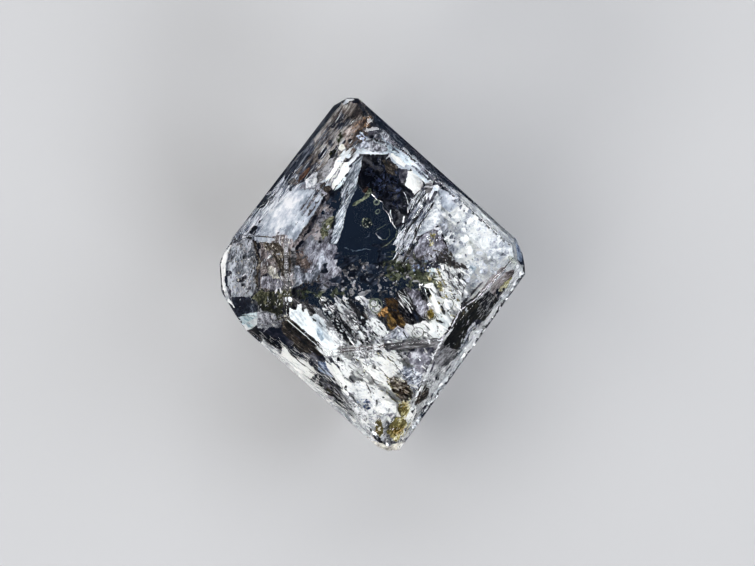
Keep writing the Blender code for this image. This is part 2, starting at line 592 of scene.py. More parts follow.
# Finishes of veils. Sizes, raggedness and ripple are millimetres, angles are degrees in
# view, and stops are the colours from the darkest to the brightest of the mottling.
FINISHES = {
    "milk": dict(
        stops=((0.32, (0.22, 0.25, 0.31)), (0.48, (0.50, 0.55, 0.63)), (0.70, (0.90, 0.90, 0.92))),
        size=0.45, stretch=1.2, angle=52.0, ragged=0.05, ripple=0.05, speckle=0.15, drift=0.8,
        detail=3.0),
    # blaze: partly real white veil, partly painted glare, a near-pure white that stands in for light
    # reflected inside the crystal
    "blaze": dict(
        stops=((0.24, (0.30, 0.31, 0.34)), (0.36, (0.86, 0.88, 0.90)), (0.50, (1.0, 1.0, 0.98))),
        size=0.30, stretch=2.4, angle=-45.0, ragged=0.14, ripple=0.08, gaps=-0.70),
    "mottled": dict(
        stops=((0.30, (0.40, 0.41, 0.44)), (0.45, (0.74, 0.76, 0.78)), (0.60, (0.99, 0.99, 0.98))),
        size=0.22, stretch=1.2, angle=30.0, ragged=0.08, ripple=0.05, drift=0.9, speckle=0.3),
    "pale": dict(
        stops=((0.32, (0.22, 0.28, 0.34)), (0.48, (0.62, 0.70, 0.77)), (0.62, (0.92, 0.96, 1.0))),
        size=0.4, stretch=2.0, angle=-38.0, ragged=0.08, ripple=0.08, gaps=-0.8, speckle=0.2),
    "strips": dict(
        stops=((0.40, (0.07, 0.085, 0.13)), (0.48, (0.42, 0.46, 0.55)), (0.60, (0.94, 0.96, 1.0))),
        size=0.14, stretch=8.0, angle=51.0, ragged=0.10, ripple=0.10, gaps=-0.55),
    "fibrous": dict(
        stops=((0.39, (0.018, 0.015, 0.016)), (0.48, (0.105, 0.085, 0.075)), (0.58, (0.26, 0.23, 0.22)),
               (0.70, (0.62, 0.60, 0.59))),
        size=0.15, stretch=6.0, angle=53.0, ragged=0.12, ripple=0.12, gaps=-0.45, drift=1.0),
    "slate": dict(
        stops=((0.42, (0.008, 0.011, 0.020)), (0.56, (0.05, 0.06, 0.09)), (0.70, (0.35, 0.38, 0.44))),
        size=0.2, stretch=6.0, angle=55.0, ragged=0.08, ripple=0.06, gaps=-0.5),
    "rust": dict(
        stops=((0.40, (0.020, 0.008, 0.005)), (0.54, (0.10, 0.042, 0.022)), (0.68, (0.36, 0.22, 0.15))),
        size=0.14, stretch=3.0, angle=52.0, ragged=0.12, ripple=0.05, gaps=-0.35),
    "brown": dict(
        stops=((0.38, (0.04, 0.030, 0.028)), (0.50, (0.17, 0.125, 0.105)), (0.60, (0.38, 0.31, 0.29)),
               (0.72, (0.75, 0.68, 0.64))),
        size=0.18, stretch=2.5, angle=50.0, ragged=0.14, ripple=0.10, gaps=-0.4, drift=0.9),
    "olive": dict(
        stops=((0.42, (0.010, 0.012, 0.008)), (0.56, (0.05, 0.052, 0.026)), (0.70, (0.26, 0.26, 0.17))),
        size=0.2, stretch=1.5, angle=40.0, ragged=0.16, ripple=0.06, gaps=-0.3, drift=0.9),
    "golden": dict(
        stops=((0.36, (0.08, 0.066, 0.020)), (0.46, (0.32, 0.28, 0.09)), (0.54, (0.72, 0.68, 0.42)),
               (0.64, (0.98, 0.97, 0.92))),
        size=0.14, stretch=3.0, angle=70.0, ragged=0.16, ripple=0.06, gaps=-0.35, drift=0.9),
    "cream": dict(
        stops=((0.30, (0.45, 0.42, 0.36)), (0.42, (0.92, 0.90, 0.84)), (0.60, (1.0, 0.99, 0.96))),
        size=0.3, stretch=1.2, angle=60.0, ragged=0.04, ripple=0.05, speckle=0.2),
    "mist": dict(
        stops=((0.38, (0.003, 0.005, 0.012)), (0.54, (0.016, 0.024, 0.042)),
               (0.72, (0.09, 0.11, 0.16))),
        size=0.45, stretch=1.5, angle=10.0, ragged=0.3, ripple=0.2, gaps=-0.1, detail=3.0),
    "ink": dict(
        stops=((0.42, (0.002, 0.003, 0.008)), (0.60, (0.012, 0.017, 0.030)),
               (0.76, (0.12, 0.14, 0.18))),
        size=0.25, stretch=1.5, angle=-20.0, ragged=0.03, ripple=0.03, weave=0.6),
    "pearl": dict(
        stops=((0.34, (0.16, 0.155, 0.145)), (0.48, (0.46, 0.44, 0.40)), (0.62, (0.84, 0.81, 0.74))),
        size=0.2, stretch=1.3, angle=60.0, ragged=0.14, ripple=0.08, gaps=-0.5, drift=0.9),
    "moss": dict(
        stops=((0.40, (0.014, 0.018, 0.012)), (0.54, (0.07, 0.08, 0.045)), (0.68, (0.24, 0.26, 0.18))),
        size=0.16, stretch=1.4, angle=40.0, ragged=0.16, ripple=0.10, gaps=-0.1),
    "golden_green": dict(
        stops=((0.38, (0.02, 0.028, 0.020)), (0.52, (0.12, 0.14, 0.085)), (0.66, (0.40, 0.45, 0.30))),
        size=0.18, stretch=1.5, angle=30.0, ragged=0.02, ripple=0.05, weave=0.6),
    "blue": dict(
        stops=((0.38, (0.02, 0.035, 0.09)), (0.50, (0.16, 0.22, 0.38)), (0.62, (0.66, 0.75, 0.90))),
        size=0.2, stretch=1.6, angle=-40.0, ragged=0.12, ripple=0.06, gaps=-0.45),
    "striped": dict(
        stops=((0.40, (0.07, 0.085, 0.11)), (0.48, (0.30, 0.34, 0.39)), (0.56, (0.66, 0.71, 0.77)),
               (0.66, (0.96, 0.98, 1.0))),
        size=0.08, stretch=8.0, angle=58.0, ragged=0.02, ripple=0.03, drift=0.3, weave=0.5),
    "smoke": dict(
        stops=((0.36, (0.010, 0.013, 0.026)), (0.48, (0.09, 0.088, 0.115)), (0.60, (0.25, 0.245, 0.29)),
               (0.74, (0.72, 0.73, 0.78))),
        size=0.40, stretch=1.6, angle=65.0, ragged=0.16, ripple=0.14, gaps=-0.5, drift=1.2,
        speckle=0.15),
    "haze": dict(
        stops=((0.36, (0.006, 0.009, 0.020)), (0.50, (0.026, 0.028, 0.046)),
               (0.62, (0.085, 0.083, 0.105)), (0.76, (0.32, 0.33, 0.39))),
        size=0.5, stretch=1.5, angle=65.0, ragged=0.14, ripple=0.14, gaps=-0.75, drift=1.2,
        speckle=0.10, detail=3.0),
    "murk": dict(
        stops=((0.42, (0.006, 0.004, 0.002)), (0.58, (0.034, 0.019, 0.008)),
               (0.74, (0.20, 0.11, 0.03))),
        size=0.14, stretch=1.5, angle=-40.0, ragged=0.08, ripple=0.08, gaps=-0.6, weave=0.8),
    "ash": dict(
        stops=((0.34, (0.05, 0.05, 0.065)), (0.46, (0.32, 0.33, 0.37)), (0.58, (0.70, 0.72, 0.77)),
               (0.70, (0.98, 0.98, 1.0))),
        size=0.24, stretch=1.5, angle=45.0, ragged=0.16, ripple=0.12, gaps=-0.5, drift=1.0),
    "fan": dict(
        stops=((0.41, (0.02, 0.026, 0.055)), (0.48, (0.32, 0.36, 0.45)), (0.56, (0.94, 0.96, 1.0))),
        size=0.11, stretch=10.0, angle=60.0, ragged=0.16, ripple=0.16, gaps=-0.3, shine=0.2,
        roughness=0.3, drift=0.5),
    "streaked": dict(
        stops=((0.42, (0.008, 0.008, 0.014)), (0.48, (0.30, 0.31, 0.36)), (0.54, (1.0, 1.0, 1.0))),
        size=0.11, stretch=5.0, angle=-49.0, ragged=0.22, ripple=0.12, gaps=-0.18, shine=0.2,
        roughness=0.3, drift=0.9),
    # shadow: painted shade, near-black sheets and flakes that darken the places between the brighter
    # veils
    "shadow": dict(
        stops=((0.42, (0.004, 0.004, 0.006)), (0.58, (0.030, 0.028, 0.028)),
               (0.70, (0.28, 0.27, 0.28))),
        size=0.14, stretch=4.0, angle=-45.0, ragged=0.14, ripple=0.08, gaps=-0.5),
    "umber": dict(
        stops=((0.42, (0.010, 0.008, 0.006)), (0.56, (0.060, 0.046, 0.034)),
               (0.70, (0.36, 0.32, 0.27))),
        size=0.18, stretch=2.5, angle=-45.0, ragged=0.14, ripple=0.08, gaps=-0.6),
    "orange": dict(
        stops=((0.38, (0.04, 0.018, 0.006)), (0.48, (0.20, 0.095, 0.025)), (0.58, (0.50, 0.27, 0.08)),
               (0.70, (0.85, 0.62, 0.36))),
        size=0.14, stretch=1.6, angle=-60.0, ragged=0.06, ripple=0.04, drift=0.2, weave=0.6),
    # rim: bright white with a sheen; the sheets and flakes along the crystal's edges that use it are
    # painted highlights of the edges
    "rim": dict(
        stops=((0.34, (0.36, 0.38, 0.41)), (0.46, (0.80, 0.82, 0.85)), (0.58, (1.0, 1.0, 1.0))),
        size=0.20, stretch=4.0, angle=54.0, ragged=0.04, ripple=0.03, shine=0.3, roughness=0.25),
    "ghost": dict(
        stops=((0.40, (0.002, 0.004, 0.012)), (0.56, (0.010, 0.016, 0.042)),
               (0.72, (0.08, 0.10, 0.18))),
        size=0.22, stretch=1.5, angle=70.0, ragged=0.2, ripple=0.15, gaps=0.25),
    "snow": dict(
        stops=((0.28, (0.36, 0.40, 0.44)), (0.44, (0.72, 0.76, 0.78)), (0.62, (0.94, 0.95, 0.95))),
        size=0.35, stretch=2.4, angle=-48.0, ragged=0.01, ripple=0.03, speckle=0.2, weave=0.45),
    "blue_white": dict(
        stops=((0.30, (0.30, 0.42, 0.48)), (0.50, (0.70, 0.80, 0.84)), (0.70, (0.95, 0.98, 1.0))),
        size=0.3, stretch=1.5, angle=-48.0, ragged=0.03, ripple=0.03, speckle=0.2),
    "ivory": dict(
        stops=((0.26, (0.56, 0.58, 0.52)), (0.40, (0.93, 0.93, 0.88)), (0.55, (1.0, 1.0, 0.97))),
        size=0.35, stretch=1.6, angle=62.0, ragged=0.02, ripple=0.03, speckle=0.2),
    "fog": dict(
        stops=((0.36, (0.07, 0.08, 0.10)), (0.48, (0.25, 0.27, 0.32)), (0.62, (0.62, 0.65, 0.72))),
        size=0.28, stretch=1.8, angle=60.0, ragged=0.12, ripple=0.08, gaps=-0.7, drift=0.9, detail=4.0),
    "lilac": dict(
        stops=((0.36, (0.038, 0.036, 0.047)), (0.47, (0.16, 0.155, 0.19)), (0.58, (0.35, 0.35, 0.41)),
               (0.72, (0.78, 0.80, 0.87))),
        size=0.20, stretch=2.0, angle=66.0, ragged=0.12, ripple=0.08, gaps=-0.7),
    "taupe": dict(
        stops=((0.38, (0.05, 0.042, 0.045)), (0.50, (0.22, 0.185, 0.185)), (0.62, (0.46, 0.42, 0.43))),
        size=0.22, stretch=1.6, angle=50.0, ragged=0.16, ripple=0.10, gaps=-0.35, drift=1.0),
    "night": dict(
        stops=((0.42, (0.003, 0.003, 0.002)), (0.60, (0.016, 0.014, 0.008)),
               (0.76, (0.11, 0.10, 0.065))),
        size=0.20, stretch=2.5, angle=60.0, ragged=0.03, ripple=0.05, gaps=-0.9, weave=0.7),
    "frost": dict(
        stops=((0.31, (0.33, 0.36, 0.42)), (0.43, (0.65, 0.68, 0.72)), (0.57, (0.93, 0.94, 0.93))),
        size=0.26, stretch=1.2, angle=30.0, ragged=0.05, ripple=0.05, drift=0.8, speckle=0.3,
        detail=4.0),
    "amber": dict(
        stops=((0.40, (0.014, 0.008, 0.003)), (0.54, (0.052, 0.028, 0.008)),
               (0.68, (0.28, 0.17, 0.05))),
        size=0.12, stretch=2.2, angle=-50.0, ragged=0.12, ripple=0.06, gaps=-0.4, weave=0.5),
    "dusk": dict(
        stops=((0.38, (0.03, 0.03, 0.033)), (0.50, (0.14, 0.135, 0.14)), (0.64, (0.42, 0.42, 0.45))),
        size=0.22, stretch=3.5, angle=6.0, ragged=0.05, ripple=0.05, weave=0.7),
    "plates": dict(
        stops=((0.38, (0.12, 0.12, 0.13)), (0.45, (0.52, 0.53, 0.55)), (0.56, (0.92, 0.93, 0.93))),
        size=0.16, stretch=4.0, angle=-50.0, ragged=0.12, ripple=0.12, gaps=-0.6, drift=0.8),
    "sparkle": dict(
        stops=((0.40, (0.80, 0.82, 0.86)), (0.60, (1.0, 1.0, 1.0))),
        size=0.2, shine=1.0, roughness=0.12),
}

# Outlines and paths are hundredths of a millimetre, right and up by turns, as the eye sees
# them from MIDDLE. Depths below the surface and all other lengths are millimetres, and
# angles are degrees in view. These outlines are used more than once.
FAN = (148, 278, 193, 311, 226, 337, 244, 307, 219, 237, 181, 163, 137, 67, 89, 67, 96, 133, 126, 170,
    141, 222, 156, 252)
FAN_CORE = (148, 278, 193, 311, 226, 337, 244, 307, 219, 237, 181, 163, 137, 67, 89, 67, 96, 133,
    126, 170, 141, 222)
FACET = (241, 307, 311, 278, 415, 237, 537, 111, 504, 37, 356, -104, 337, -67, 348, 15, 267, 119,
    222, 178)
MIDDLE_FIELD = (-185, -96, 0, -96, 37, -141, 44, -222, 207, -237, 222, -104, 207, -7, 252, 37, 356, 0,
    333, -126, 274, -252, 200, -385, 119, -607, 44, -644, -81, -459, -133, -289)

# Sheets are (name, finish, depth, outline).
SHEETS = (
    # upper left face
    ("upper_left_milk", "milk", 0.7, (-441, 126, -422, 178, -385, 233, -333, 278, -289, 319, -237, 341,
     -207, 333, -200, 307, -230, 248, -267, 193, -300, 144, -319, 126, -356, 119, -407, 119)),
    ("upper_left_grey", "lilac", 0.6, (-274, 304, -244, 348, -215, 378, -185, 400, -159, 422, -130, 422,
     -141, 385, -167, 348, -174, 315, -200, 296, -230, 304)),
    ("wedge_shade", "dusk", 0.4, (-207, 359, -174, 400, -144, 426, -126, 426, -144, 393, -163, 363,
     -178, 337, -204, 326)),
    ("upper_left_strips", "strips", 0.5, (-526, 111, -481, 174, -430, 241, -378, 304, -337, 348,
     -270, 370, -274, 311, -319, 267, -370, 230, -407, 178, -430, 126)),
    ("upper_left_fibres", "fibrous", 0.5, (-337, 341, -304, 393, -256, 452, -200, 522, -148, 585,
     -111, 630, -74, 607, -30, 570, 0, 526, -37, 493, -81, 452, -119, 422, -170, 393, -215, 363,
     -244, 337, -278, 315)),
    ("upper_left_slate", "slate", 0.35, (-330, 341, -289, 404, -252, 456, -215, 478, -219, 444,
     -259, 393, -289, 356, -319, 330)),
    ("upper_left_rust", "rust", 0.4, (-281, 322, -267, 356, -248, 385, -226, 396, -237, 363,
     -259, 341)),
    ("crest_shadow", "olive", 0.4, (-126, 452, -133, 489, -115, 522, -107, 496, -126, 459, -156, 415,
     -174, 422, -152, 452)),
    ("crest_brown", "brown", 0.45, (-111, 519, -74, 556, -22, 578, 11, 548, -22, 511, -59, 467,
     -104, 452, -126, 474)),
    ("tip_shadow", "fibrous", 0.3, (-107, 615, -81, 626, -59, 630, -30, 593, -37, 563, -81, 570,
     -111, 585)),
    # painted highlight at the upper tip, made as a milky sheet
    ("tip_painted_highlight", "milk", 0.2, (-104, 637, -93, 644, -63, 644, -63, 635, -81, 630, -96, 622,
     -111, 615)),
    ("crest_cream", "cream", 0.3, (-126, 463, -119, 474, -104, 474, -96, 459, -111, 448, -126, 452)),
    ("crest_pale", "milk", 0.45, (-219, 363, -204, 374, -196, 356, -211, 344)),
    ("crest_pale_low", "milk", 0.45, (-200, 341, -174, 352, -170, 333, -193, 326)),
    # band above the window
    ("top_band", "pale", 0.7, (-133, 404, -119, 430, -96, 452, -74, 463, -52, 489, -30, 504, 0, 496,
     48, 478, 74, 452, 59, 433, -22, 437, -67, 430, -100, 419, -126, 400)),
    ("top_band_dark", "ash", 0.5, (-30, 485, 0, 493, 44, 467, 67, 448, 30, 441, -22, 448)),
    ("top_blue", "blue", 0.4, (-56, 507, -30, 511, -22, 493, -52, 489)),
    ("crest_right", "ash", 0.4, (0, 548, 44, 530, 74, 489, 96, 452, 67, 456, 7, 496, -22, 515)),
    ("right_edge_pale", "pale", 0.35, (30, 519, 67, 481, 119, 444, 163, 400, 207, 352, 252, 319,
     244, 293, 207, 311, 185, 333, 152, 370, 111, 404, 67, 437)),
    # around the window
    ("wedge", "ivory", 0.8, (-119, 406, -85, 411, -67, 430, -56, 433, -74, 404, -91, 374, -102, 348,
     -119, 326, -137, 307, -148, 296, -152, 311, -163, 333, -156, 346, -141, 359, -130, 385)),
    ("wedge_foot", "blue_white", 0.85, (-100, 356, -93, 348, -104, 322, -126, 304, -144, 294, -133, 315,
     -115, 333)),
    ("pocket_haze", "mist", 1.0, (-159, 289, -126, 304, -104, 333, -111, 296, -126, 252, -137, 215,
     -152, 244, -170, 267)),
    ("wedge_spot", "umber", 0.5, (-178, 315, -156, 319, -148, 304, -163, 289, -181, 296)),
    ("striped_band", "striped", 1.5, (-59, 433, -33, 430, -41, 378, -56, 330, -67, 293, -76, 263,
     -81, 252, -98, 219, -102, 178, -115, 141, -130, 100, -154, 100, -144, 148, -137, 185, -133, 219,
     -122, 248, -115, 285, -104, 322, -93, 359, -81, 396)),
    ("left_of_window", "lilac", 1.7, (-211, 289, -163, 274, -144, 222, -144, 170, -152, 107, -119, 81,
     -133, 30, -104, 7, -119, -44, -185, -67, -226, -44, -267, -44, -319, -37, -333, 37, -333, 107,
     -300, 152, -263, 200, -233, 256)),
    ("window_side", "taupe", 1.4, (-193, 304, -159, 281, -148, 222, -163, 156, -200, 119, -244, 81,
     -289, 67, -311, 111, -281, 148, -248, 200, -215, 259)),
    ("window_side_dark", "taupe", 1.2, (-200, 296, -163, 289, -174, 252, -200, 230, -222, 178,
     -256, 148, -267, 119, -293, 81, -319, 74, -319, 119, -281, 163, -248, 211, -219, 267)),
    ("window_side_low", "mist", 1.5, (-185, 15, -156, 67, -130, 56, -107, 89, -81, 48, -96, 7, -74, -37,
     -119, -67, -156, -44, -185, -74, -207, -48, -181, -19)),
    ("oval_brown", "brown", 1.0, (-293, 67, -267, 74, -244, 59, -226, 33, -230, 7, -256, 7, -281, 30)),
    ("comb_ground", "fog", 1.2, (-311, 37, -289, 15, -259, -7, -219, 0, -200, 52, -178, 74, -170, 37,
     -189, -7, -204, -44, -219, -30, -233, -48, -248, -33, -263, -52, -281, -37, -304, -30)),
    ("comb_olive", "olive", 1.3, (-189, 163, -174, 185, -159, 207, -141, 204, -144, 178, -159, 156,
     -163, 122, -185, 119, -196, 137)),
    ("quad", "milk", 0.8, (56, 437, 74, 463, 119, 433, 156, 396, 141, 374, 104, 381, 74, 400)),
    ("quad_bright", "blaze", 0.7, (67, 430, 78, 452, 115, 426, 137, 404, 119, 385, 85, 400)),
    ("poly_bright", "blaze", 0.8, (133, 374, 152, 381, 178, 359, 193, 319, 174, 293, 159, 281, 141, 304,
     119, 326, 130, 352)),
    ("poly_shade", "smoke", 1.1, (96, 385, 119, 393, 141, 378, 133, 348, 111, 330, 100, 356)),
    ("window_ghost", "ghost", 2.4, (-22, 422, 52, 422, 96, 378, 111, 304, 89, 248, 30, 259, 0, 304,
     -22, 356)),
    ("olive_arc", "golden_green", 2.0, (-69, 257, -54, 262, -39, 270, -25, 283, -16, 297, -13, 315,
     -3, 313, -5, 293, -15, 274, -31, 259, -50, 250, -67, 247)),
    ("window_mist", "mist", 2.6, (-133, 37, -96, 119, -22, 133, 89, 104, 111, 37, 74, -44, -22, -81,
     -104, -59)),
    ("arc_glow", "rust", 2.1, (-37, 296, -15, 322, -7, 311, -22, 289)),
    ("window_rust", "umber", 1.4, (37, 415, 67, 407, 96, 385, 93, 356, 59, 363)),
    # fan of shards and the right facet
    ("fan", "fan", 1.6, FAN),
    ("fan_near", "fan", 0.8, (156, 281, 207, 326, 237, 304, 200, 207, 148, 96, 111, 74, 119, 148,
     148, 215)),
    ("fan_crown", "haze", 0.7, (193, 319, 222, 344, 244, 322, 233, 278, 207, 244, 185, 274)),
    ("fan_right", "frost", 0.9, (237, 296, 256, 274, 256, 215, 244, 170, 215, 152, 167, 126, 178, 185,
     207, 252)),
    ("right_facet", "frost", 1.3, (241, 307, 274, 300, 311, 278, 363, 256, 415, 244, 467, 204, 522, 152,
     552, 107, 537, 74, 511, 33, 481, -7, 448, -41, 419, -67, 381, -96, 356, -115, 326, -126, 326, -74,
     333, -22, 296, 15, 274, 59, 281, 89, 267, 119, 244, 163, 222, 178, 241, 244)),
    ("facet_lilac", "fog", 1.1, (248, 237, 263, 222, 278, 170, 296, 119, 311, 67, 289, 74, 270, 115,
     252, 156, 244, 200)),
    ("right_facet_blue", "pale", 1.0, (356, 22, 374, 37, 389, 19, 381, -7, 363, -22)),
    ("dome", "lilac", 1.0, (163, 96, 178, 126, 196, 148, 215, 165, 230, 167, 248, 152, 267, 126,
     278, 81, 281, 44, 244, 37, 207, 37, 163, 52, 141, 74)),
    ("dome_foot", "smoke", 1.3, (89, 59, 148, 74, 207, 44, 267, 44, 267, 15, 237, -30, 178, -44,
     133, -15)),
    ("light_blue_patch", "blue_white", 0.8, (204, 7, 222, 17, 241, 9, 244, 0, 230, -11, 211, -15)),
    ("shards_upper", "plates", 0.9, (256, 4, 281, 19, 311, 15, 344, 0, 352, -44, 337, -96, 304, -115,
     274, -104, 256, -67, 244, -30)),
    ("shards_lower", "blaze", 0.7, (207, -89, 252, -78, 296, -104, 341, -111, 319, -148, 289, -200,
     267, -244, 170, -248, 141, -230, 193, -207, 230, -178, 222, -126)),
    ("shards_white", "snow", 0.5, (222, -174, 252, -152, 289, -167, 300, -178, 274, -222, 252, -248,
     200, -244, 211, -207)),
    ("shards_olive", "golden", 0.5, (204, -144, 219, -133, 230, -144, 226, -170, 217, -178, 204, -163)),
    ("shard_yellow", "golden", 0.7, (193, -7, 230, -19, 259, -48, 278, -78, 256, -78, 222, -44)),
    # what lies behind, deeper in the crystal
    ("lower_ground", "mottled", 1.2, (-133, -296, 104, -296, 244, -281, 215, -415, 148, -548, 96, -637,
     30, -622, -59, -511)),
    ("lower_left_ground", "haze", 1.0, (-467, -215, -304, -185, -185, -289, -81, -444, 0, -607,
     -119, -504, -304, -356)),
    ("lower_right_ground", "haze", 1.0, (267, -267, 393, -104, 519, 15, 548, 0, 437, -163, 252, -422,
     133, -615, 148, -548, 215, -422)),
    ("upper_left_ground", "haze", 1.2, (-519, 104, -415, 244, -281, 415, -104, 622, -37, 556, -44, 481,
     -156, 400, -222, 281, -304, 126)),
    ("left_ground", "haze", 1.2, (-548, 59, -504, 119, -311, 126, -307, -170, -407, -215, -481, -185,
     -541, -89)),
    ("shards_ground", "ash", 1.8, (222, -96, 274, 7, 348, 7, 356, -104, 267, -252, 104, -259, 96, -215,
     193, -185)),
    # dark middle
    ("middle_teal", "moss", 1.3, (44, 37, 89, 59, 133, 52, 141, 0, 96, -37, 44, -22)),
    ("middle_olive", "moss", 1.0, (111, 22, 156, 15, 207, -7, 244, -44, 237, -74, 193, -74, 141, -96,
     104, -52)),
    ("moss_low", "moss", 0.8, (-289, -59, -222, -74, -156, -67, -96, -59, -74, -89, -133, -100,
     -200, -104, -237, -111, -274, -96)),
    ("middle_shadow", "shadow", 1.4, (89, -67, 133, -59, 200, -81, 215, -126, 193, -185, 148, -207,
     119, -185, 89, -133)),
    ("middle_patch", "lilac", 0.6, (119, -63, 148, -61, 178, -74, 193, -119, 167, -126, 137, -96)),
    ("middle_navy", "mist", 0.45, (144, -148, 159, -144, 178, -174, 178, -193, 159, -178)),
    ("middle_fog", "lilac", 0.55, (144, -104, 174, -93, 204, -111, 211, -148, 193, -178, 170, -156)),
    ("middle_plate", "plates", 0.5, (122, -185, 152, -196, 193, -178, 215, -193, 207, -241, 141, -252,
     119, -222)),
    ("middle_facet", "fog", 0.35, (59, -244, 70, -222, 96, -202, 119, -215, 137, -233, 141, -252,
     96, -256)),
    ("stain_dark", "murk", 0.6, (48, -96, 81, -93, 100, -115, 100, -144, 119, -170, 133, -185,
     122, -211, 96, -204, 74, -219, 56, -207, 48, -178, 59, -156)),
    ("stain", "orange", 0.5, (17, -161, 28, -137, 44, -135, 48, -126, 59, -130, 57, -141, 67, -152,
     52, -156, 48, -170, 33, -165, 26, -174)),
    ("stain_low", "amber", 0.45, (52, -159, 67, -148, 78, -167, 93, -181, 89, -211, 70, -215, 59, -204,
     56, -181)),
    ("stain_side", "amber", 0.45, (93, -156, 107, -159, 130, -185, 122, -204, 104, -196)),
    ("streaks_left", "streaked", 0.9, (-200, -119, -178, -119, -141, -148, -89, -148, -52, -185,
     -7, -207, -59, -274, -119, -259, -156, -193)),
    ("streaks_dark", "shadow", 0.45, (-104, -100, -74, -104, -48, -133, -22, -174, -11, -200, -33, -204,
     -56, -170, -81, -133)),
    ("streaks_dark_left", "shadow", 0.5, (-196, -100, -174, -100, -144, -133, -119, -178, -85, -233,
     -59, -274, -81, -274, -115, -233, -152, -181, -185, -137)),
    ("streaks_speckled", "plates", 0.4, (-144, -115, -115, -119, -81, -144, -52, -178, -52, -219,
     -81, -211, -111, -178, -133, -148)),
    ("middle_white", "ash", 0.6, (-52, -104, 0, -96, 41, -133, 22, -185, 67, -222, 111, -200, 152, -230,
     111, -259, -7, -274, -67, -252, -74, -215, -22, -215, -15, -170)),
    ("middle_blaze", "blaze", 0.8, (-37, -104, 7, -100, 37, -133, 15, -178, -15, -170, -30, -141)),
    ("middle_plates", "plates", 0.55, (-22, -170, 22, -170, 48, -193, 63, -226, 30, -248, -15, -222)),
    ("middle_crest", "blaze", 0.7, (-67, -93, -33, -89, -15, -104, -22, -133, -44, -119)),
    # left field with its dark teeth
    ("left_field", "snow", 0.3, (-306, -130, -296, -137, -289, -143, -279, -139, -278, -119, -260, -119,
     -259, -144, -254, -159, -251, -139, -241, -136, -235, -148, -227, -169, -217, -156, -204, -156,
     -185, -167, -170, -189, -167, -215, -148, -233, -133, -256, -122, -281, -133, -293, -165, -291,
     -198, -265, -233, -235, -274, -200, -306, -174)),
    ("left_field_tooth", "snow", 0.3, (-313, -96, -304, -91, -294, -100, -298, -111, -309, -111)),
    ("left_field_edge", "plates", 0.28, (-219, -137, -196, -126, -167, -163, -137, -207, -104, -259,
     -100, -281, -130, -281, -148, -244, -174, -215, -185, -185, -207, -159)),
    ("left_field_shade", "pale", 0.22, (-207, -207, -196, -200, -181, -222, -174, -252, -189, -263,
     -204, -237)),
    ("left_field_sky", "fog", 0.24, (-200, -178, -189, -189, -178, -204, -189, -204, -196, -193)),
    ("left_field_mouth", "shadow", 0.2, (-224, -172, -215, -172, -204, -181, -204, -189, -215, -187,
     -222, -181)),
    ("teeth", "shadow", 0.42, (-315, -89, -281, -100, -244, -111, -207, -126, -200, -152, -211, -178,
     -244, -178, -289, -159, -315, -141)),
    # band along the upper right edge; its dark sheet is painted shade, which also hides the veils seen
    # beyond it
    ("right_band_painted_shade", "slate", 0.3, (0, 607, 74, 548, 252, 396, 400, 267, 459, 219, 444, 207,
     407, 230, 363, 259, 311, 298, 278, 319, 244, 333, 193, 367, 104, 452, 44, 515, 0, 556)),
    # growth step below the front face
    ("growth_step", "dusk", 0.25, (44, -272, 104, -263, 163, -256, 256, -256, 274, -278, 252, -285,
     207, -281, 163, -285, 119, -291, 74, -293, 44, -287)),
    ("step_foot", "plates", 0.45, (-207, -259, -156, -274, -96, -285, -44, -289, 7, -281, 44, -285,
     81, -296, 126, -289, 148, -304, 119, -333, 52, -326, 0, -319, -44, -333, -59, -370, -44, -415,
     -74, -415, -115, -378, -156, -333, -193, -296)),
    # lower front face
    ("lower_streaks", "streaked", 0.6, (-133, -289, -59, -289, 0, -296, 44, -296, 96, -311, 119, -348,
     96, -400, 52, -430, 0, -415, -59, -370, -104, -326)),
    ("lower_blaze", "blaze", 0.5, (-52, -311, -15, -304, 30, -300, 74, -304, 104, -333, 115, -363,
     89, -378, 89, -407, 44, -426, 7, -407, -30, -370)),
    ("lower_blaze_left", "blaze", 0.6, (-81, -415, -44, -407, 0, -415, 37, -433, 67, -467, 96, -496,
     96, -526, 52, -519, 15, -548, 0, -585, -37, -548, -74, -481)),
    ("lower_blaze_tip", "blaze", 0.5, (96, -481, 119, -467, 148, -489, 156, -533, 141, -578, 111, -585,
     89, -541)),
    ("lower_blaze_neck", "blaze", 0.45, (22, -481, 59, -474, 93, -489, 89, -526, 52, -526, 15, -515)),
    ("lower_violet", "smoke", 0.5, (111, -300, 193, -274, 244, -274, 222, -311, 215, -363, 185, -385,
     141, -348)),
    ("lower_fan", "strips", 0.6, (96, -370, 119, -348, 156, -356, 193, -370, 178, -437, 156, -467,
     119, -415)),
    ("ellipse", "umber", 0.45, (52, -393, 89, -389, 126, -411, 152, -441, 148, -474, 119, -485,
     89, -467, 67, -437)),
    ("neck", "golden", 0.35, (93, -478, 144, -478, 137, -519, 115, -556, 96, -519)),
    ("violet_streaks", "umber", 0.4, (167, -437, 189, -415, 215, -430, 215, -452, 193, -481, 170, -496,
     159, -467)),
    ("gold_right", "golden", 0.35, (63, -570, 85, -537, 119, -533, 137, -563, 119, -600, 96, -630,
     67, -622, 56, -593)),
    ("gold_left", "golden", 0.35, (7, -556, 30, -541, 44, -578, 37, -611, 15, -611)),
    ("tip_pale", "ash", 0.6, (-22, -511, 44, -489, 96, -504, 148, -489, 156, -548, 119, -622, 81, -656,
     44, -644, 0, -593)),
    # lower left faces
    ("edge_shadow", "umber", 0.5, (-330, -178, -300, -178, -252, -219, -200, -270, -178, -315,
     -215, -330, -267, -293, -311, -259, -337, -222)),
    ("corner_shadow", "shadow", 0.5, (-467, -215, -422, -204, -393, -244, -341, -270, -370, -304,
     -422, -259)),
    ("corner_ash", "ash", 0.6, (-430, -152, -378, -163, -326, -178, -341, -207, -370, -207, -400, -222,
     -422, -200)),
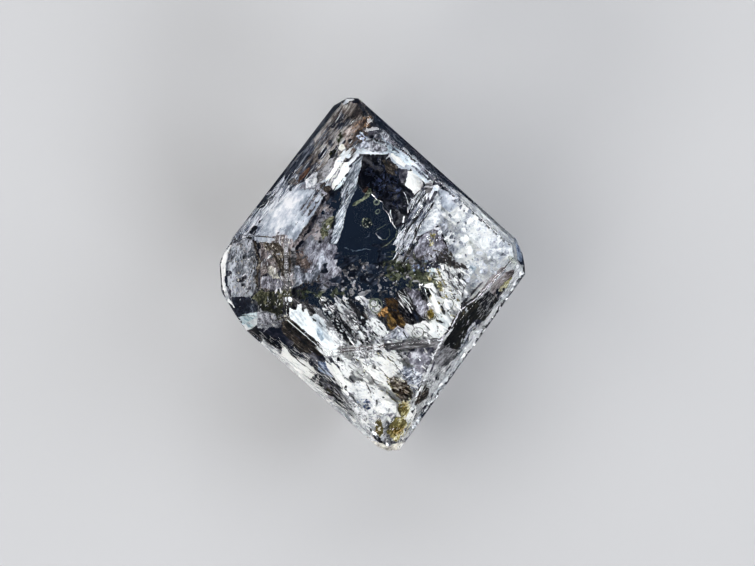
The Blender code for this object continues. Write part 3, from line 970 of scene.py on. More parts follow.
    ("lower_left_white", "blaze", 0.3, (-333, -281, -296, -304, -252, -333, -207, -370, -230, -396,
     -185, -430, -126, -481, -74, -533, -22, -585, -59, -570, -156, -496, -267, -393, -319, -348,
     -356, -311)),
    ("lower_left_streaks", "streaked", 0.4, (-356, -289, -304, -296, -222, -356, -156, -415, -111, -467,
     -156, -467, -244, -400, -326, -333)),
    ("lower_left_blue", "blue", 0.5, (-204, -333, -170, -337, -133, -370, -148, -396, -178, -385,
     -200, -363)),
    ("lower_left_smoke", "smoke", 0.6, (-222, -370, -178, -385, -126, -415, -89, -459, -96, -489,
     -156, -467, -207, -415)),
    ("lower_left_band", "blaze", 0.4, (-170, -330, -126, -370, -81, -415, -67, -459, -100, -444,
     -141, -400, -170, -363)),
    ("lower_left_plates", "plates", 0.35, (-133, -452, -89, -459, -44, -489, -15, -526, -7, -563,
     -44, -548, -96, -504)),
    # left face
    # left_rim is a painted highlight along the left edge
    ("left_rim", "rim", 0.2, (-559, 30, -548, 74, -515, 115, -530, 74, -543, 30, -544, -37, -531, -89,
     -504, -141, -530, -119, -548, -85, -559, -30)),
    ("left_violet", "fog", 0.7, (-533, 96, -481, 126, -437, 122, -430, 59, -426, 0, -430, -67,
     -456, -96, -522, -96, -541, -44, -544, 22)),
    ("left_ash", "fog", 0.4, (-522, 89, -496, 104, -478, 37, -489, -4, -519, -7, -533, 37)),
    ("left_crease", "umber", 0.3, (-441, 119, -431, 119, -424, 63, -411, 37, -424, -4, -420, -59,
     -430, -59, -433, 0, -424, 37, -435, 59)),
    ("left_grey", "taupe", 0.6, (-422, 115, -374, 122, -322, 122, -319, 37, -319, -52, -378, -70,
     -415, -67, -419, 0)),
    ("left_brown", "umber", 0.45, (-404, 115, -341, 111, -326, 81, -322, 37, -322, -30, -337, -15,
     -352, 30, -378, 67, -400, 81)),
    ("left_cream", "pearl", 0.4, (-389, 15, -374, 22, -359, 15, -348, -7, -341, -22, -370, -26,
     -385, -11)),
    ("left_pebble", "lilac", 0.35, (-411, -22, -378, -15, -341, -22, -326, -44, -337, -63, -378, -70,
     -411, -59)),
    # painted highlight: a lighter grey strip along the left edge
    ("left_edge_painted_highlight", "dusk", 0.2, (-324, 119, -315, 119, -313, 37, -315, -74, -320, -74, -322, 37)),
    ("left_lumps", "ash", 0.3, (-430, -156, -400, -144, -359, -156, -356, -178, -385, -193, -407, -215,
     -430, -207)),
    ("left_olive", "olive", 0.45, (-452, -96, -426, -67, -378, -70, -315, -67, -311, -144, -341, -167,
     -393, -159, -422, -126)),
    ("left_block", "ink", 0.2, (-522, -93, -489, -91, -452, -96, -450, -115, -430, -122, -424, -150,
     -467, -156, -504, -161)),
    ("left_wedge", "blue_white", 0.25, (-500, -163, -467, -156, -426, -150, -426, -178, -437, -200,
     -467, -217)),
    ("left_wedge_foot", "snow", 0.22, (-478, -196, -452, -181, -426, -170, -426, -196, -444, -211,
     -467, -219)),
    # lower right faces, and rims along the lower edges, bright sheets that are painted highlights of
    # the edges
    ("right_umber", "night", 0.35, (263, -263, 289, -226, 315, -181, 337, -144, 363, -122, 393, -104,
     422, -85, 452, -89, 470, -104, 448, -144, 419, -193, 393, -178, 363, -185, 356, -222, 341, -259,
     319, -296, 281, -296, 256, -281)),
    ("right_hatch", "shadow", 0.3, (404, -93, 433, -70, 456, -89, 444, -126, 422, -163, 400, -170)),
    ("right_grey", "taupe", 0.5, (415, -89, 437, -52, 474, -22, 504, 4, 530, 4, 522, -30, 489, -74,
     467, -107, 444, -104)),
    ("right_olive", "golden", 0.35, (467, -74, 489, -41, 515, -19, 526, -22, 511, -52, 485, -78)),
    ("right_rim", "rim", 0.3, (537, 30, 574, 30, 574, -15, 500, -107, 444, -181, 419, -204, 407, -185,
     433, -156, 478, -89, 515, -33)),
    ("right_rim_low", "rim", 0.3, (370, -215, 400, -207, 430, -207, 363, -311, 296, -400, 237, -481,
     133, -644, 111, -637, 178, -541, 222, -467, 274, -378, 319, -304, 348, -259)),
    ("tip_rim", "pearl", 0.3, (-22, -600, 22, -630, 67, -644, 104, -630, 126, -622, 119, -667, 81, -681,
     30, -674, -30, -622)),
    ("lower_left_rim", "rim", 0.3, (-407, -244, -319, -319, -230, -400, -119, -496, -22, -578, 0, -615,
     -37, -622, -156, -519, -304, -385, -422, -274)),
    ("right_blue", "fan", 0.4, (356, -207, 378, -185, 407, -185, 400, -215, 356, -289, 311, -363,
     274, -378, 319, -296)),
    ("right_corner", "blue", 0.3, (530, 119, 541, 107, 559, 59, 559, 33, 541, 44)),
    ("right_lower_grey", "plates", 0.5, (207, -378, 244, -326, 274, -289, 326, -289, 348, -274,
     289, -363, 222, -467, 185, -511, 178, -481, 200, -430)),
    ("right_lower_blue", "blue", 0.4, (237, -304, 256, -285, 274, -289, 285, -311, 267, -333, 248, -337,
     233, -322)),
    ("right_lower_dusk", "dusk", 0.3, (230, -270, 274, -278, 319, -289, 311, -319, 281, -348, 259, -356,
     237, -341, 230, -311)),
    ("right_umber_low", "night", 0.3, (319, -178, 363, -126, 415, -119, 419, -167, 381, -181, 359, -215,
     337, -267, 304, -289, 278, -270)),
    # small patches beside the larger sheets
    ("milk_shade", "taupe", 0.88, (-185, 300, -152, 296, -167, 252, -196, 204, -230, 156, -263, 111,
     -296, 67, -319, 81, -296, 130, -259, 189, -222, 244, -196, 289)),
    ("milk_shade_low", "dusk", 0.7, (-319, 89, -289, 96, -278, 59, -289, 7, -278, -44, -304, -74,
     -315, -30, -311, 37)),
    ("crest_light", "ash", 0.5, (-252, 344, -219, 370, -189, 363, -185, 330, -215, 311, -248, 304)),
    ("fan_crown_dark", "dusk", 0.28, (196, 326, 219, 337, 230, 315, 215, 285, 196, 293)),
    ("shard_moss", "moss", 0.6, (193, 0, 230, 0, 256, -37, 252, -67, 215, -63, 185, -44)),
    ("oval_side", "fog", 0.9, (-304, 37, -267, 22, -259, -44, -289, -67, -307, -30)),
    ("crest_edge", "fog", 0.3, (-63, 474, -30, 485, -7, 474, -11, 459, -37, 456, -67, 452)),
    ("facet_corner", "milk", 0.9, (244, 311, 278, 300, 311, 278, 319, 244, 289, 215, 256, 244)),
    # near the back
    ("back_low", "smoke", 4.6, (-156, -200, -74, -170, 44, -185, 148, -215, 193, -274, 170, -356,
     111, -415, 30, -400, -74, -333, -133, -274)),
    ("back_low_plates", "lilac", 3.6, (-74, -296, 15, -267, 111, -296, 141, -370, 96, -452, 22, -459,
     -52, -393)),
    ("back_right", "fog", 3.8, (289, 222, 370, 215, 452, 163, 474, 96, 430, 22, 363, -15, 311, 37,
     296, 126)),
    ("back_left", "smoke", 3.2, (-407, 119, -363, 207, -296, 267, -244, 289, -259, 222, -304, 148,
     -341, 81, -393, 59)),
    ("back_corner", "taupe", 2.4, (-489, 81, -407, 104, -348, 81, -333, -30, -378, -104, -452, -89,
     -496, -15)),
)

# Clouds are (name, finish, count, depths, lengths, slimness, angle, spread, outline).
CLOUDS = (
    ("facet_flakes", "frost", 150, (0.5, 1.4), (0.12, 0.34), (0.4, 0.9), 20.0, 60.0, FACET),
    ("facet_specks", "fog", 70, (0.3, 1.1), (0.08, 0.26), (0.4, 0.9), 20.0, 60.0, FACET),
    ("fan_shadows", "shadow", 34, (0.4, 1.2), (0.2, 0.9), (0.05, 0.14), 60.0, 5.0, FAN_CORE),
    ("fan_flakes", "fan", 260, (0.5, 2.4), (0.2, 0.9), (0.05, 0.16), 60.0, 6.0, FAN),
    ("middle_flakes", "streaked", 420, (0.3, 2.0), (0.08, 0.5), (0.06, 0.25), -47.0, 10.0, (-200, -96,
     -89, -96, -52, -170, 0, -215, 74, -222, 148, -200, 193, -252, -100, -278, -148, -233)),
    ("middle_shadows", "shadow", 260, (0.2, 1.0), (0.08, 0.5), (0.06, 0.2), -47.0, 8.0, (-200, -96,
     0, -96, 89, -67, 215, -104, 237, -178, 270, -233, -100, -278, -148, -233)),
    ("shard_flakes", "blaze", 200, (0.2, 1.2), (0.08, 0.5), (0.1, 0.4), -50.0, 20.0, (207, -11, 274, 30,
     348, 7, 348, -104, 311, -156, 267, -244, 170, -244, 215, -178)),
    ("shard_shadows", "shadow", 90, (0.15, 0.8), (0.06, 0.35), (0.08, 0.3), -50.0, 20.0, (148, 52,
     274, 67, 348, 7, 333, -104, 311, -156, 267, -244, 170, -244, 200, -104)),
    ("lower_flakes", "blaze", 260, (0.3, 1.8), (0.08, 0.5), (0.1, 0.3), -46.0, 12.0, (-133, -296,
     178, -270, 252, -263, 196, -381, 141, -474, 85, -585, 11, -567, -100, -419)),
    ("lower_shadows", "shadow", 130, (0.15, 0.7), (0.08, 0.6), (0.03, 0.10), -47.0, 8.0, (-133, -296,
     104, -289, 193, -370, 156, -474, 67, -415, -7, -444, -100, -381)),
    ("left_flakes", "ash", 300, (0.2, 0.9), (0.04, 0.3), (0.08, 0.4), 62.0, 25.0, (-537, 81, -489, 126,
     -322, 126, -315, -141, -407, -196, -489, -148, -533, -67)),
    ("upper_left_flakes", "strips", 110, (0.2, 0.8), (0.1, 0.7), (0.05, 0.15), 52.0, 5.0, (-526, 111,
     -430, 241, -337, 348, -256, 452, -111, 622, -52, 563, -119, 452, -230, 348, -370, 222, -430, 126)),
    ("upper_left_shadows", "slate", 220, (0.15, 0.6), (0.1, 0.8), (0.04, 0.12), 53.0, 4.0, (-526, 111,
     -430, 241, -337, 348, -256, 452, -111, 622, -59, 578, -133, 467, -267, 348, -393, 215, -452, 126)),
    ("lower_left_flakes", "blaze", 260, (0.2, 0.9), (0.08, 0.5), (0.06, 0.25), -45.0, 10.0, (-430, -215,
     -267, -289, -156, -370, -74, -474, -22, -578, -156, -489, -341, -326)),
    ("lower_left_shadows", "shadow", 220, (0.15, 0.6), (0.08, 0.5), (0.05, 0.2), -45.0, 10.0, (
     -430, -215, -267, -274, -156, -370, -96, -474, -156, -467, -341, -319)),
    ("lower_right_flakes", "rim", 220, (0.2, 0.9), (0.08, 0.4), (0.08, 0.3), 55.0, 15.0, (252, -289,
     422, -178, 252, -430, 148, -585, 178, -459)),
    ("right_flakes", "ash", 100, (0.2, 0.8), (0.05, 0.3), (0.1, 0.4), 50.0, 25.0, (367, -119, 467, -19,
     533, 22, 493, -67, 430, -170, 326, -289, 281, -274)),
    ("fan_sparkles", "sparkle", 60, (0.4, 1.6), (0.06, 0.4), (0.05, 0.3), 60.0, 8.0, FAN_CORE),
    # edge_flakes and lower_left_edge_flakes, just under the surface along the lower edges, are painted
    # highlights of the edges
    ("edge_flakes", "rim", 260, (0.05, 0.25), (0.08, 0.34), (0.2, 0.6), 66.0, 30.0, (552, 22, 578, 15,
     570, -15, 119, -667, 93, -667, 96, -637)),
    ("lower_left_edge_flakes", "rim", 200, (0.05, 0.2), (0.15, 0.5), (0.12, 0.3), -40.0, 5.0, (
     -422, -244, -400, -244, -156, -459, 22, -637, 7, -667, -156, -519, -341, -356)),
    ("blue_flakes", "blue", 34, (0.2, 0.6), (0.06, 0.2), (0.3, 0.8), -40.0, 60.0, (-56, -467, -15, -474,
     -7, -519, -59, -511)),
    ("window_blue_flakes", "blue", 24, (0.5, 1.2), (0.05, 0.16), (0.3, 0.8), -40.0, 60.0, (96, 67,
     252, 37, 252, -15, 163, 0)),
    ("shard_golden", "golden", 60, (0.2, 0.8), (0.06, 0.26), (0.15, 0.5), -45.0, 25.0, (193, 15,
     274, 15, 333, -104, 289, -215, 193, -215, 207, -104)),
    ("ellipse_golden", "golden", 40, (0.15, 0.4), (0.08, 0.4), (0.06, 0.2), -42.0, 12.0, (44, -378,
     96, -378, 156, -444, 148, -496, 96, -489)),
    ("field_golden", "golden", 50, (0.2, 0.8), (0.06, 0.3), (0.08, 0.3), -47.0, 12.0, (-74, -304,
     104, -296, 119, -370, 104, -489, 0, -437)),
    ("fine_grains", "snow", 560, (0.15, 1.4), (0.02, 0.09), (0.3, 0.9), -47.0, 40.0, MIDDLE_FIELD),
    ("dark_grains", "ink", 500, (0.1, 0.8), (0.02, 0.09), (0.3, 0.9), -47.0, 40.0, MIDDLE_FIELD),
    ("lower_left_grains", "snow", 300, (0.1, 0.8), (0.02, 0.10), (0.3, 0.9), -42.0, 40.0, (-430, -222,
     -267, -289, -119, -385, -30, -489, 0, -622, -156, -489, -341, -326)),
    ("left_grains", "pearl", 300, (0.15, 0.9), (0.02, 0.12), (0.3, 0.9), 60.0, 50.0, (-537, 81,
     -489, 126, -319, 126, -311, -170, -407, -215, -489, -148, -533, -67)),
    ("middle_grains", "snow", 260, (0.2, 1.0), (0.04, 0.22), (0.2, 0.7), -47.0, 20.0, (-200, -96,
     -89, -96, -52, -148, 0, -200, 74, -215, 119, -207, 193, -237, 252, -237, 104, -267, -74, -274,
     -148, -233)),
    ("moss_flakes", "moss", 90, (0.5, 1.6), (0.05, 0.22), (0.12, 0.4), -40.0, 30.0, (44, 74, 141, 81,
     215, 30, 215, -67, 148, -104, 74, -67, 30, 7)),
    ("middle_slivers", "snow", 18, (0.2, 0.6), (0.15, 0.45), (0.04, 0.10), -50.0, 6.0, (93, -67,
     111, -59, 159, -126, 144, -148, 104, -119)),
    ("dome_golden", "golden", 16, (0.5, 0.9), (0.05, 0.16), (0.3, 0.8), 40.0, 60.0, (211, 141, 230, 141,
     237, 96, 215, 96)),
    ("right_strokes", "rim", 46, (0.15, 0.3), (0.10, 0.34), (0.05, 0.14), 62.0, 8.0, (393, -104,
     437, -74, 459, -96, 422, -170, 393, -178)),
    ("lower_left_darks", "night", 60, (0.1, 0.4), (0.12, 0.5), (0.08, 0.3), -42.0, 14.0, (-230, -363,
     -170, -393, -96, -459, -111, -489, -178, -444)),
    ("ghost_flakes", "ghost", 120, (1.0, 2.4), (0.06, 0.25), (0.2, 0.7), 70.0, 60.0, (-22, 422, 52, 422,
     96, 378, 111, 304, 96, 230, 59, 267, -7, 281, -22, 356)),
    ("middle_sparkles", "sparkle", 130, (0.3, 1.6), (0.06, 0.30), (0.06, 0.2), -47.0, 25.0, (-200, -96,
     0, -96, 89, -67, 215, 7, 341, 7, 326, -122, 270, -233, -100, -278, -148, -233)),
    ("lower_sparkles", "sparkle", 160, (0.2, 1.2), (0.04, 0.25), (0.1, 0.4), -47.0, 25.0, (-415, -196,
     -267, -289, -100, -296, 252, -270, 196, -381, 141, -585, 11, -578, -156, -489)),
    ("dome_sparkles", "sparkle", 70, (0.3, 1.4), (0.03, 0.12), (0.2, 0.7), 20.0, 60.0, (89, 63,
     178, 148, 274, 133, 296, 37, 252, -22, 104, -11)),
    ("crest_sparkles", "sparkle", 60, (0.2, 0.8), (0.03, 0.15), (0.1, 0.4), 52.0, 30.0, (-378, 285,
     -267, 433, -111, 622, -22, 570, -81, 452, -230, 348, -341, 267)),
    ("tip_flakes", "rim", 160, (0.2, 0.9), (0.05, 0.25), (0.15, 0.5), 70.0, 25.0, (-22, -511, 148, -489,
     148, -563, 89, -644, 15, -615)),
    ("smoke_flakes", "lilac", 60, (0.8, 1.8), (0.06, 0.26), (0.2, 0.8), 40.0, 60.0, (-311, 119,
     -215, 244, -148, 267, -141, 104, -104, -15, -193, -74, -296, -37)),
    ("middle_dust", "dusk", 150, (0.7, 1.8), (0.05, 0.28), (0.25, 0.8), 20.0, 80.0, (-126, -15, -59, 37,
     44, 59, 141, 74, 207, 37, 215, -67, 119, -89, 30, -81, -119, -89, -200, -74)),
    ("middle_motes", "fog", 46, (0.6, 1.4), (0.03, 0.10), (0.2, 0.7), -30.0, 60.0, (-74, -7, 44, 30,
     119, 7, 104, -67, -44, -81)),
    ("left_shades", "dusk", 90, (0.15, 0.5), (0.06, 0.30), (0.15, 0.5), 62.0, 25.0, (-533, 81,
     -489, 119, -437, 119, -430, -67, -459, -89, -519, -89)),
    ("deep_flakes", "smoke", 160, (3.2, 5.2), (0.15, 0.7), (0.2, 0.7), -40.0, 50.0, (-156, -200,
     -74, -170, 148, -215, 193, -274, 141, -415, 30, -444, -119, -296)),
    ("deep_right_flakes", "fog", 90, (2.4, 4.2), (0.12, 0.5), (0.2, 0.7), 40.0, 60.0, (296, 237,
     378, 215, 459, 156, 474, 81, 400, -7, 333, 30)),
    ("deep_left_flakes", "taupe", 90, (1.8, 3.4), (0.12, 0.5), (0.2, 0.7), 50.0, 50.0, (-452, 96,
     -400, 170, -326, 252, -252, 281, -281, 178, -333, 7, -407, -67)),
    ("stripe_shadows", "shadow", 30, (0.3, 0.7), (0.10, 0.34), (0.06, 0.16), 60.0, 6.0, (-115, 326,
     -89, 333, -74, 304, -93, 252, -119, 237, -122, 281)),
)

# Trails are (name, finish, depth, width, path).
TRAILS = (
    ("window_curve", "white_line", 1.4, 0.030, (70, 226, 72, 204, 80, 181, 93, 159)),
    ("window_slash", "white_line", 1.0, 0.060, (135, 248, 130, 226, 119, 204, 111, 187)),
    ("window_hook", "white_line", 1.4, 0.026, (119, 296, 130, 270, 135, 248)),
    ("window_tick", "white_line", 1.0, 0.060, (54, 417, 63, 430, 70, 443)),
    ("window_ell", "bright_line", 1.8, 0.039, (19, 143, 30, 128, 41, 119)),
    ("window_ell_thin", "olive_line", 1.8, 0.016, (22, 156, 37, 167, 52, 178)),
    ("window_ell_low", "olive_line", 1.8, 0.016, (41, 119, 56, 119, 67, 133, 63, 159)),
    ("window_low_line", "blue_line", 2.6, 0.033, (-100, 85, -74, 78, -37, 81, -7, 78)),
    ("window_low_arc", "olive_line", 1.8, 0.022, (41, 93, 67, 107, 89, 126, 96, 148)),
    ("crest_orange", "orange_line", 0.3, 0.028, (-74, 530, -44, 556, 0, 578)),
    ("crest_orange_low", "orange_line", 0.3, 0.022, (-74, 515, -37, 533, -7, 556)),
    ("crest_bright", "bright_line", 0.3, 0.022, (-100, 537, -74, 552, -41, 570)),
    ("corner_crease", "dark_line", 0.2, 0.05, (-515, 107, -481, 126, -433, 141)),
    ("corner_crease_up", "dark_line", 0.2, 0.05, (-515, 107, -496, 126, -463, 152)),
    ("edge_line_one", "dark_line", 0.2, 0.05, (-422, 244, -385, 267, -356, 296)),
    ("oval", "brown_line", 1.0, 0.039, (-293, 74, -270, 81, -244, 63, -222, 33, -226, 7, -252, 0,
     -278, 22, -293, 52, -293, 74)),
    ("oval_leaf", "brown_line", 1.0, 0.033, (-263, 37, -244, 37, -226, 7, -248, 4, -263, 37)),
    ("v_left", "white_line", 0.12, 0.07, (207, -256, 215, -285, 226, -311)),
    ("v_right", "white_line", 0.12, 0.06, (256, -259, 241, -285, 226, -315)),
    ("v_stem", "white_line", 0.12, 0.07, (226, -311, 215, -341, 204, -378, 185, -422, 163, -467,
     144, -519)),
    ("right_edge", "lilac_line", 0.12, 0.05, (256, -259, 278, -230, 300, -193, 322, -152, 352, -122,
     385, -100, 422, -70, 459, -37, 493, -11)),
    ("facet_top", "lilac_line", 0.3, 0.03, (56, -241, 70, -222, 96, -202, 119, -215, 137, -237)),
    ("growth_line", "brown_line", 0.25, 0.03, (-126, -296, -59, -291, 0, -281, 48, -274)),
    ("lower_line_one", "dark_line", 0.25, 0.04, (44, -430, 67, -459, 96, -485)),
    ("lower_line_two", "dark_line", 0.3, 0.04, (52, -311, 89, -348, 111, -378)),
    ("lower_line_three", "dark_line", 0.3, 0.05, (89, -296, 111, -319, 133, -341, 156, -370)),
    ("right_band_one", "violet_line", 0.15, 0.03, (52, 541, 104, 496, 252, 363, 400, 244, 519, 141)),
    ("right_band_two", "violet_line", 0.15, 0.02, (44, 526, 89, 485, 215, 378, 363, 259)),
    ("right_band_three", "violet_line", 0.15, 0.02, (59, 504, 104, 463, 237, 348, 348, 259)),
)

# Finishes of trails are (colour, shine, roughness).
LINE_FINISHES = {
    "bright_line": ((0.80, 0.83, 0.88), 0.5, 0.25),
    "white_line": ((0.95, 0.97, 1.0), 0.0, 0.4),
    "lilac_line": ((0.66, 0.64, 0.72), 0.1, 0.4),
    "blue_line": ((0.10, 0.15, 0.22), 0.1, 0.4),
    "olive_line": ((0.20, 0.24, 0.15), 0.1, 0.4),
    "orange_line": ((0.60, 0.34, 0.16), 0.1, 0.4),
    "brown_line": ((0.10, 0.06, 0.05), 0.0, 0.5),
    "violet_line": ((0.34, 0.29, 0.36), 0.3, 0.3),
    "dark_line": ((0.010, 0.010, 0.014), 0.0, 0.3),
}

# Bubbles of gas are (right, up, depth, radius), all in millimetres.
BUBBLES = (
    (-1.63, 4.44, 0.3, 0.045), (-0.85, 4.67, 0.3, 0.03), (-0.74, 5.11, 0.3, 0.035),
    (-1.63, 3.67, 0.35, 0.04), (-2.74, 4.33, 0.2, 0.04), (-3.07, -1.00, 0.5, 0.075),
    (-2.78, -1.00, 0.5, 0.03), (0.96, 0.44, 1.0, 0.05), (1.11, 0.44, 1.0, 0.04),
    (-0.22, 1.96, 1.9, 0.025), (-0.11, 1.85, 1.9, 0.03), (-0.19, 1.70, 1.9, 0.028),
    (-0.04, 1.78, 1.9, 0.02), (-0.26, 1.81, 1.9, 0.02), (0.93, 2.44, 1.5, 0.03),
    (1.44, 2.48, 1.2, 0.035), (0.78, 0.74, 1.2, 0.02), (0.15, 2.63, 2.0, 0.015),
    (-0.78, -0.63, 1.0, 0.03), (2.15, 2.85, 0.8, 0.02), (1.44, 1.26, 0.8, 0.03),
)

# Rims of gas bubbles in oil are (right, up, depth, radius, share of it that is rim).
RINGS = (
    (0.13, 2.56, 2.0, 0.10, 0.30), (0.19, 2.22, 2.0, 0.09, 0.16),
    (-0.19, 1.85, 2.0, 0.18, 0.06),
    (-1.70, 1.70, 1.3, 0.17, 0.12), (0.07, -1.15, 0.3, 0.16, 0.16),
    (2.19, -1.63, 0.5, 0.16, 0.12), (1.70, -2.26, 0.4, 0.22, 0.07),
    (2.81, -1.22, 0.4, 0.22, 0.07), (0.15, -1.26, 0.3, 0.26, 0.08),
)

# Pockets of oil are (name, oil, depth, half sizes, angle, place), with the place in
# millimetres right and up.
POCKETS = (
    ("neck_oil", "golden_oil", 0.35, (0.22, 0.16, 0.12), 70.0, (1.19, -4.96)),
    ("tip_oil", "golden_oil", 0.35, (0.36, 0.20, 0.12), 65.0, (0.96, -5.85)),
    ("tip_oil_small", "golden_oil", 0.3, (0.28, 0.12, 0.10), 85.0, (0.26, -5.78)),
    ("shard_oil", "golden_oil", 0.4, (0.16, 0.13, 0.10), 80.0, (2.15, -1.59)),
    ("right_oil", "green_oil", 0.35, (0.30, 0.10, 0.10), 60.0, (4.93, -0.52)),
    ("corner_oil", "green_oil", 0.3, (0.16, 0.07, 0.08), -50.0, (5.26, 0.37)),
    ("middle_oil", "green_oil", 1.0, (0.26, 0.20, 0.14), 50.0, (1.19, 0.15)),
    ("window_oil", "green_oil", 1.9, (0.18, 0.18, 0.12), 0.0, (-0.19, 1.85)),
    ("ellipse_oil", "brown_oil", 0.35, (0.50, 0.24, 0.14), -40.0, (1.04, -4.37)),
    ("deep_oil", "golden_oil", 4.4, (0.46, 0.30, 0.22), 20.0, (0.00, -2.89)),
    ("deep_oil_small", "golden_oil", 4.0, (0.26, 0.20, 0.16), -30.0, (0.96, -3.33)),
    ("deep_right_oil", "green_oil", 3.2, (0.30, 0.18, 0.14), 50.0, (3.78, 1.04)),
)

OILS = {
    "golden_oil": (0.80, 0.62, 0.16),
    "green_oil": (0.55, 0.58, 0.22),
    "brown_oil": (0.40, 0.26, 0.12),
}

# Bitumen is (name, count, depths, sizes, angle, spread, outline).
BITUMEN = (
    ("tooth_one", 10, (0.5, 0.65), (0.08, 0.22), 80.0, 30.0, (-307, -93, -278, -96, -278, -133,
     -300, -133)),
    ("tooth_two", 14, (0.5, 0.65), (0.08, 0.22), 80.0, 30.0, (-267, -96, -237, -104, -230, -148,
     -256, -144)),
    ("tooth_three", 14, (0.5, 0.65), (0.08, 0.22), 60.0, 30.0, (-244, -115, -207, -126, -204, -159,
     -233, -163)),
    ("tooth_four", 6, (0.45, 0.55), (0.06, 0.14), -30.0, 20.0, (-226, -167, -204, -174, -204, -189,
     -219, -185)),
    ("comb", 40, (1.0, 1.2), (0.06, 0.2), 85.0, 25.0, (-267, -48, -252, -33, -230, -37, -207, -30,
     -196, -11, -189, -41, -200, -74, -244, -78)),
    ("dendrite_one", 44, (0.6, 0.9), (0.08, 0.26), -32.0, 22.0, (274, 96, 296, 81, 300, 52, 330, 37,
     348, 15, 326, 7, 281, 30, 263, 59)),
    ("dendrite_two", 36, (0.6, 0.9), (0.08, 0.26), -28.0, 22.0, (252, 59, 281, 44, 333, 30, 356, 11,
     348, 0, 296, 15, 244, 30)),
    ("dome_foot_dots", 30, (0.6, 0.9), (0.06, 0.22), -10.0, 40.0, (141, 59, 200, 74, 252, 81, 274, 44,
     237, 22, 148, 30)),
    ("shard_dots", 9, (0.4, 0.6), (0.04, 0.12), 0.0, 80.0, (237, -200, 259, -207, 256, -233,
     237, -230)),
    ("facet_dots", 6, (0.4, 0.6), (0.03, 0.08), 0.0, 80.0, (281, -133, 307, -141, 300, -167,
     278, -156)),
    ("ellipse_end", 22, (0.3, 0.4), (0.08, 0.25), -50.0, 20.0, (89, -444, 119, -444, 148, -467,
     133, -489, 104, -481)),
    ("left_dots", 14, (0.4, 0.6), (0.04, 0.16), 50.0, 50.0, (-370, 104, -330, 96, -333, 52, -363, 59)),
    ("edge_dots", 24, (0.3, 0.5), (0.06, 0.2), -45.0, 25.0, (-267, -237, -200, -289, -185, -311,
     -222, -326, -274, -274)),
    ("navy_block", 30, (0.3, 0.6), (0.1, 0.3), -10.0, 60.0, (-504, -104, -452, -104, -433, -148,
     -481, -152)),
    ("umber_dots", 24, (0.3, 0.6), (0.05, 0.2), 40.0, 60.0, (363, -126, 444, -96, 444, -141, 363, -185,
     311, -267, 289, -259)),
    ("middle_dots", 40, (0.8, 1.6), (0.04, 0.15), -45.0, 40.0, (89, 37, 193, 37, 215, -67, 141, -89,
     104, -44)),
)

# The stage. Lights are (name, azimuth, elevation, size, share of the light power, colour).
LIGHT_DISTANCE = 0.45
LIGHTS = (
    ("left_light", -70.0, 45.0, (0.30, 0.30), 1.0, (1.0, 0.99, 0.96)),
    ("right_light", 75.0, 40.0, (0.30, 0.30), 0.7, (0.93, 0.96, 1.0)),
    ("far_light", -5.0, 35.0, (0.40, 0.20), 0.8, (0.96, 0.98, 1.0)),
    ("near_light", 148.0, 36.0, (0.28, 0.20), 0.8, (0.96, 0.98, 1.0)),
    ("low_light", -128.0, 30.0, (0.24, 0.16), 0.7, (1.0, 0.99, 0.96)),
)
FLOOR_SIZE = 2.0
FLOOR_GAP = 0.02 * MM           # between the crystal and the floor
BACKDROP_COLOUR = (0.5, 0.5, 0.51, 1.0)
# Colours of the studio from straight below to straight above, with the horizon at a half.
STUDIO_STOPS = (
    (0.05, (0.008, 0.014, 0.026)),
    (0.15, (0.010, 0.014, 0.024)),
    (0.32, (0.026, 0.028, 0.040)),
    (0.46, (0.12, 0.12, 0.13)),
    (0.54, (0.03, 0.03, 0.04)),
    (1.0, (0.017, 0.025, 0.050)),
)


def growth_steps(point):
    """Height of the growth steps at a point on a face, as a share of one step."""
    field = fractal(point / TERRACE, 3, 0.6, 2.3) * LEVELS
    level = floor(field)
    rise = min(max((field - level - 0.5) / SLOPE + 0.5, 0.0), 1.0)
    fine = FINE_RELIEF * fractal(point / FINE_TERRACE, 2)
    return min(level + rise - TOP_LEVEL, 0.0) + fine


class QuartzProperties(bpy.types.PropertyGroup):
    """Sizes and colours that a user may change"""

    edge_wear: FloatProperty(
        name="Edge wear", description="Width of the worn edges", default=0.07 * MM,
        min=0.0, unit="LENGTH",
    )
    step_height: FloatProperty(
        name="Step height", description="Height of the growth steps on the faces",
        default=0.012 * MM, min=0.0, unit="LENGTH",
    )
    floor_colour: FloatVectorProperty(
        name="Floor", description="Colour of the floor", subtype="COLOR", size=4,
        default=(0.22, 0.22, 0.225, 1.0), min=0.0, max=1.0,
    )
    light_power: FloatProperty(
        name="Light", description="Power of the brightest soft light", default=2.9, unit="POWER"
    )


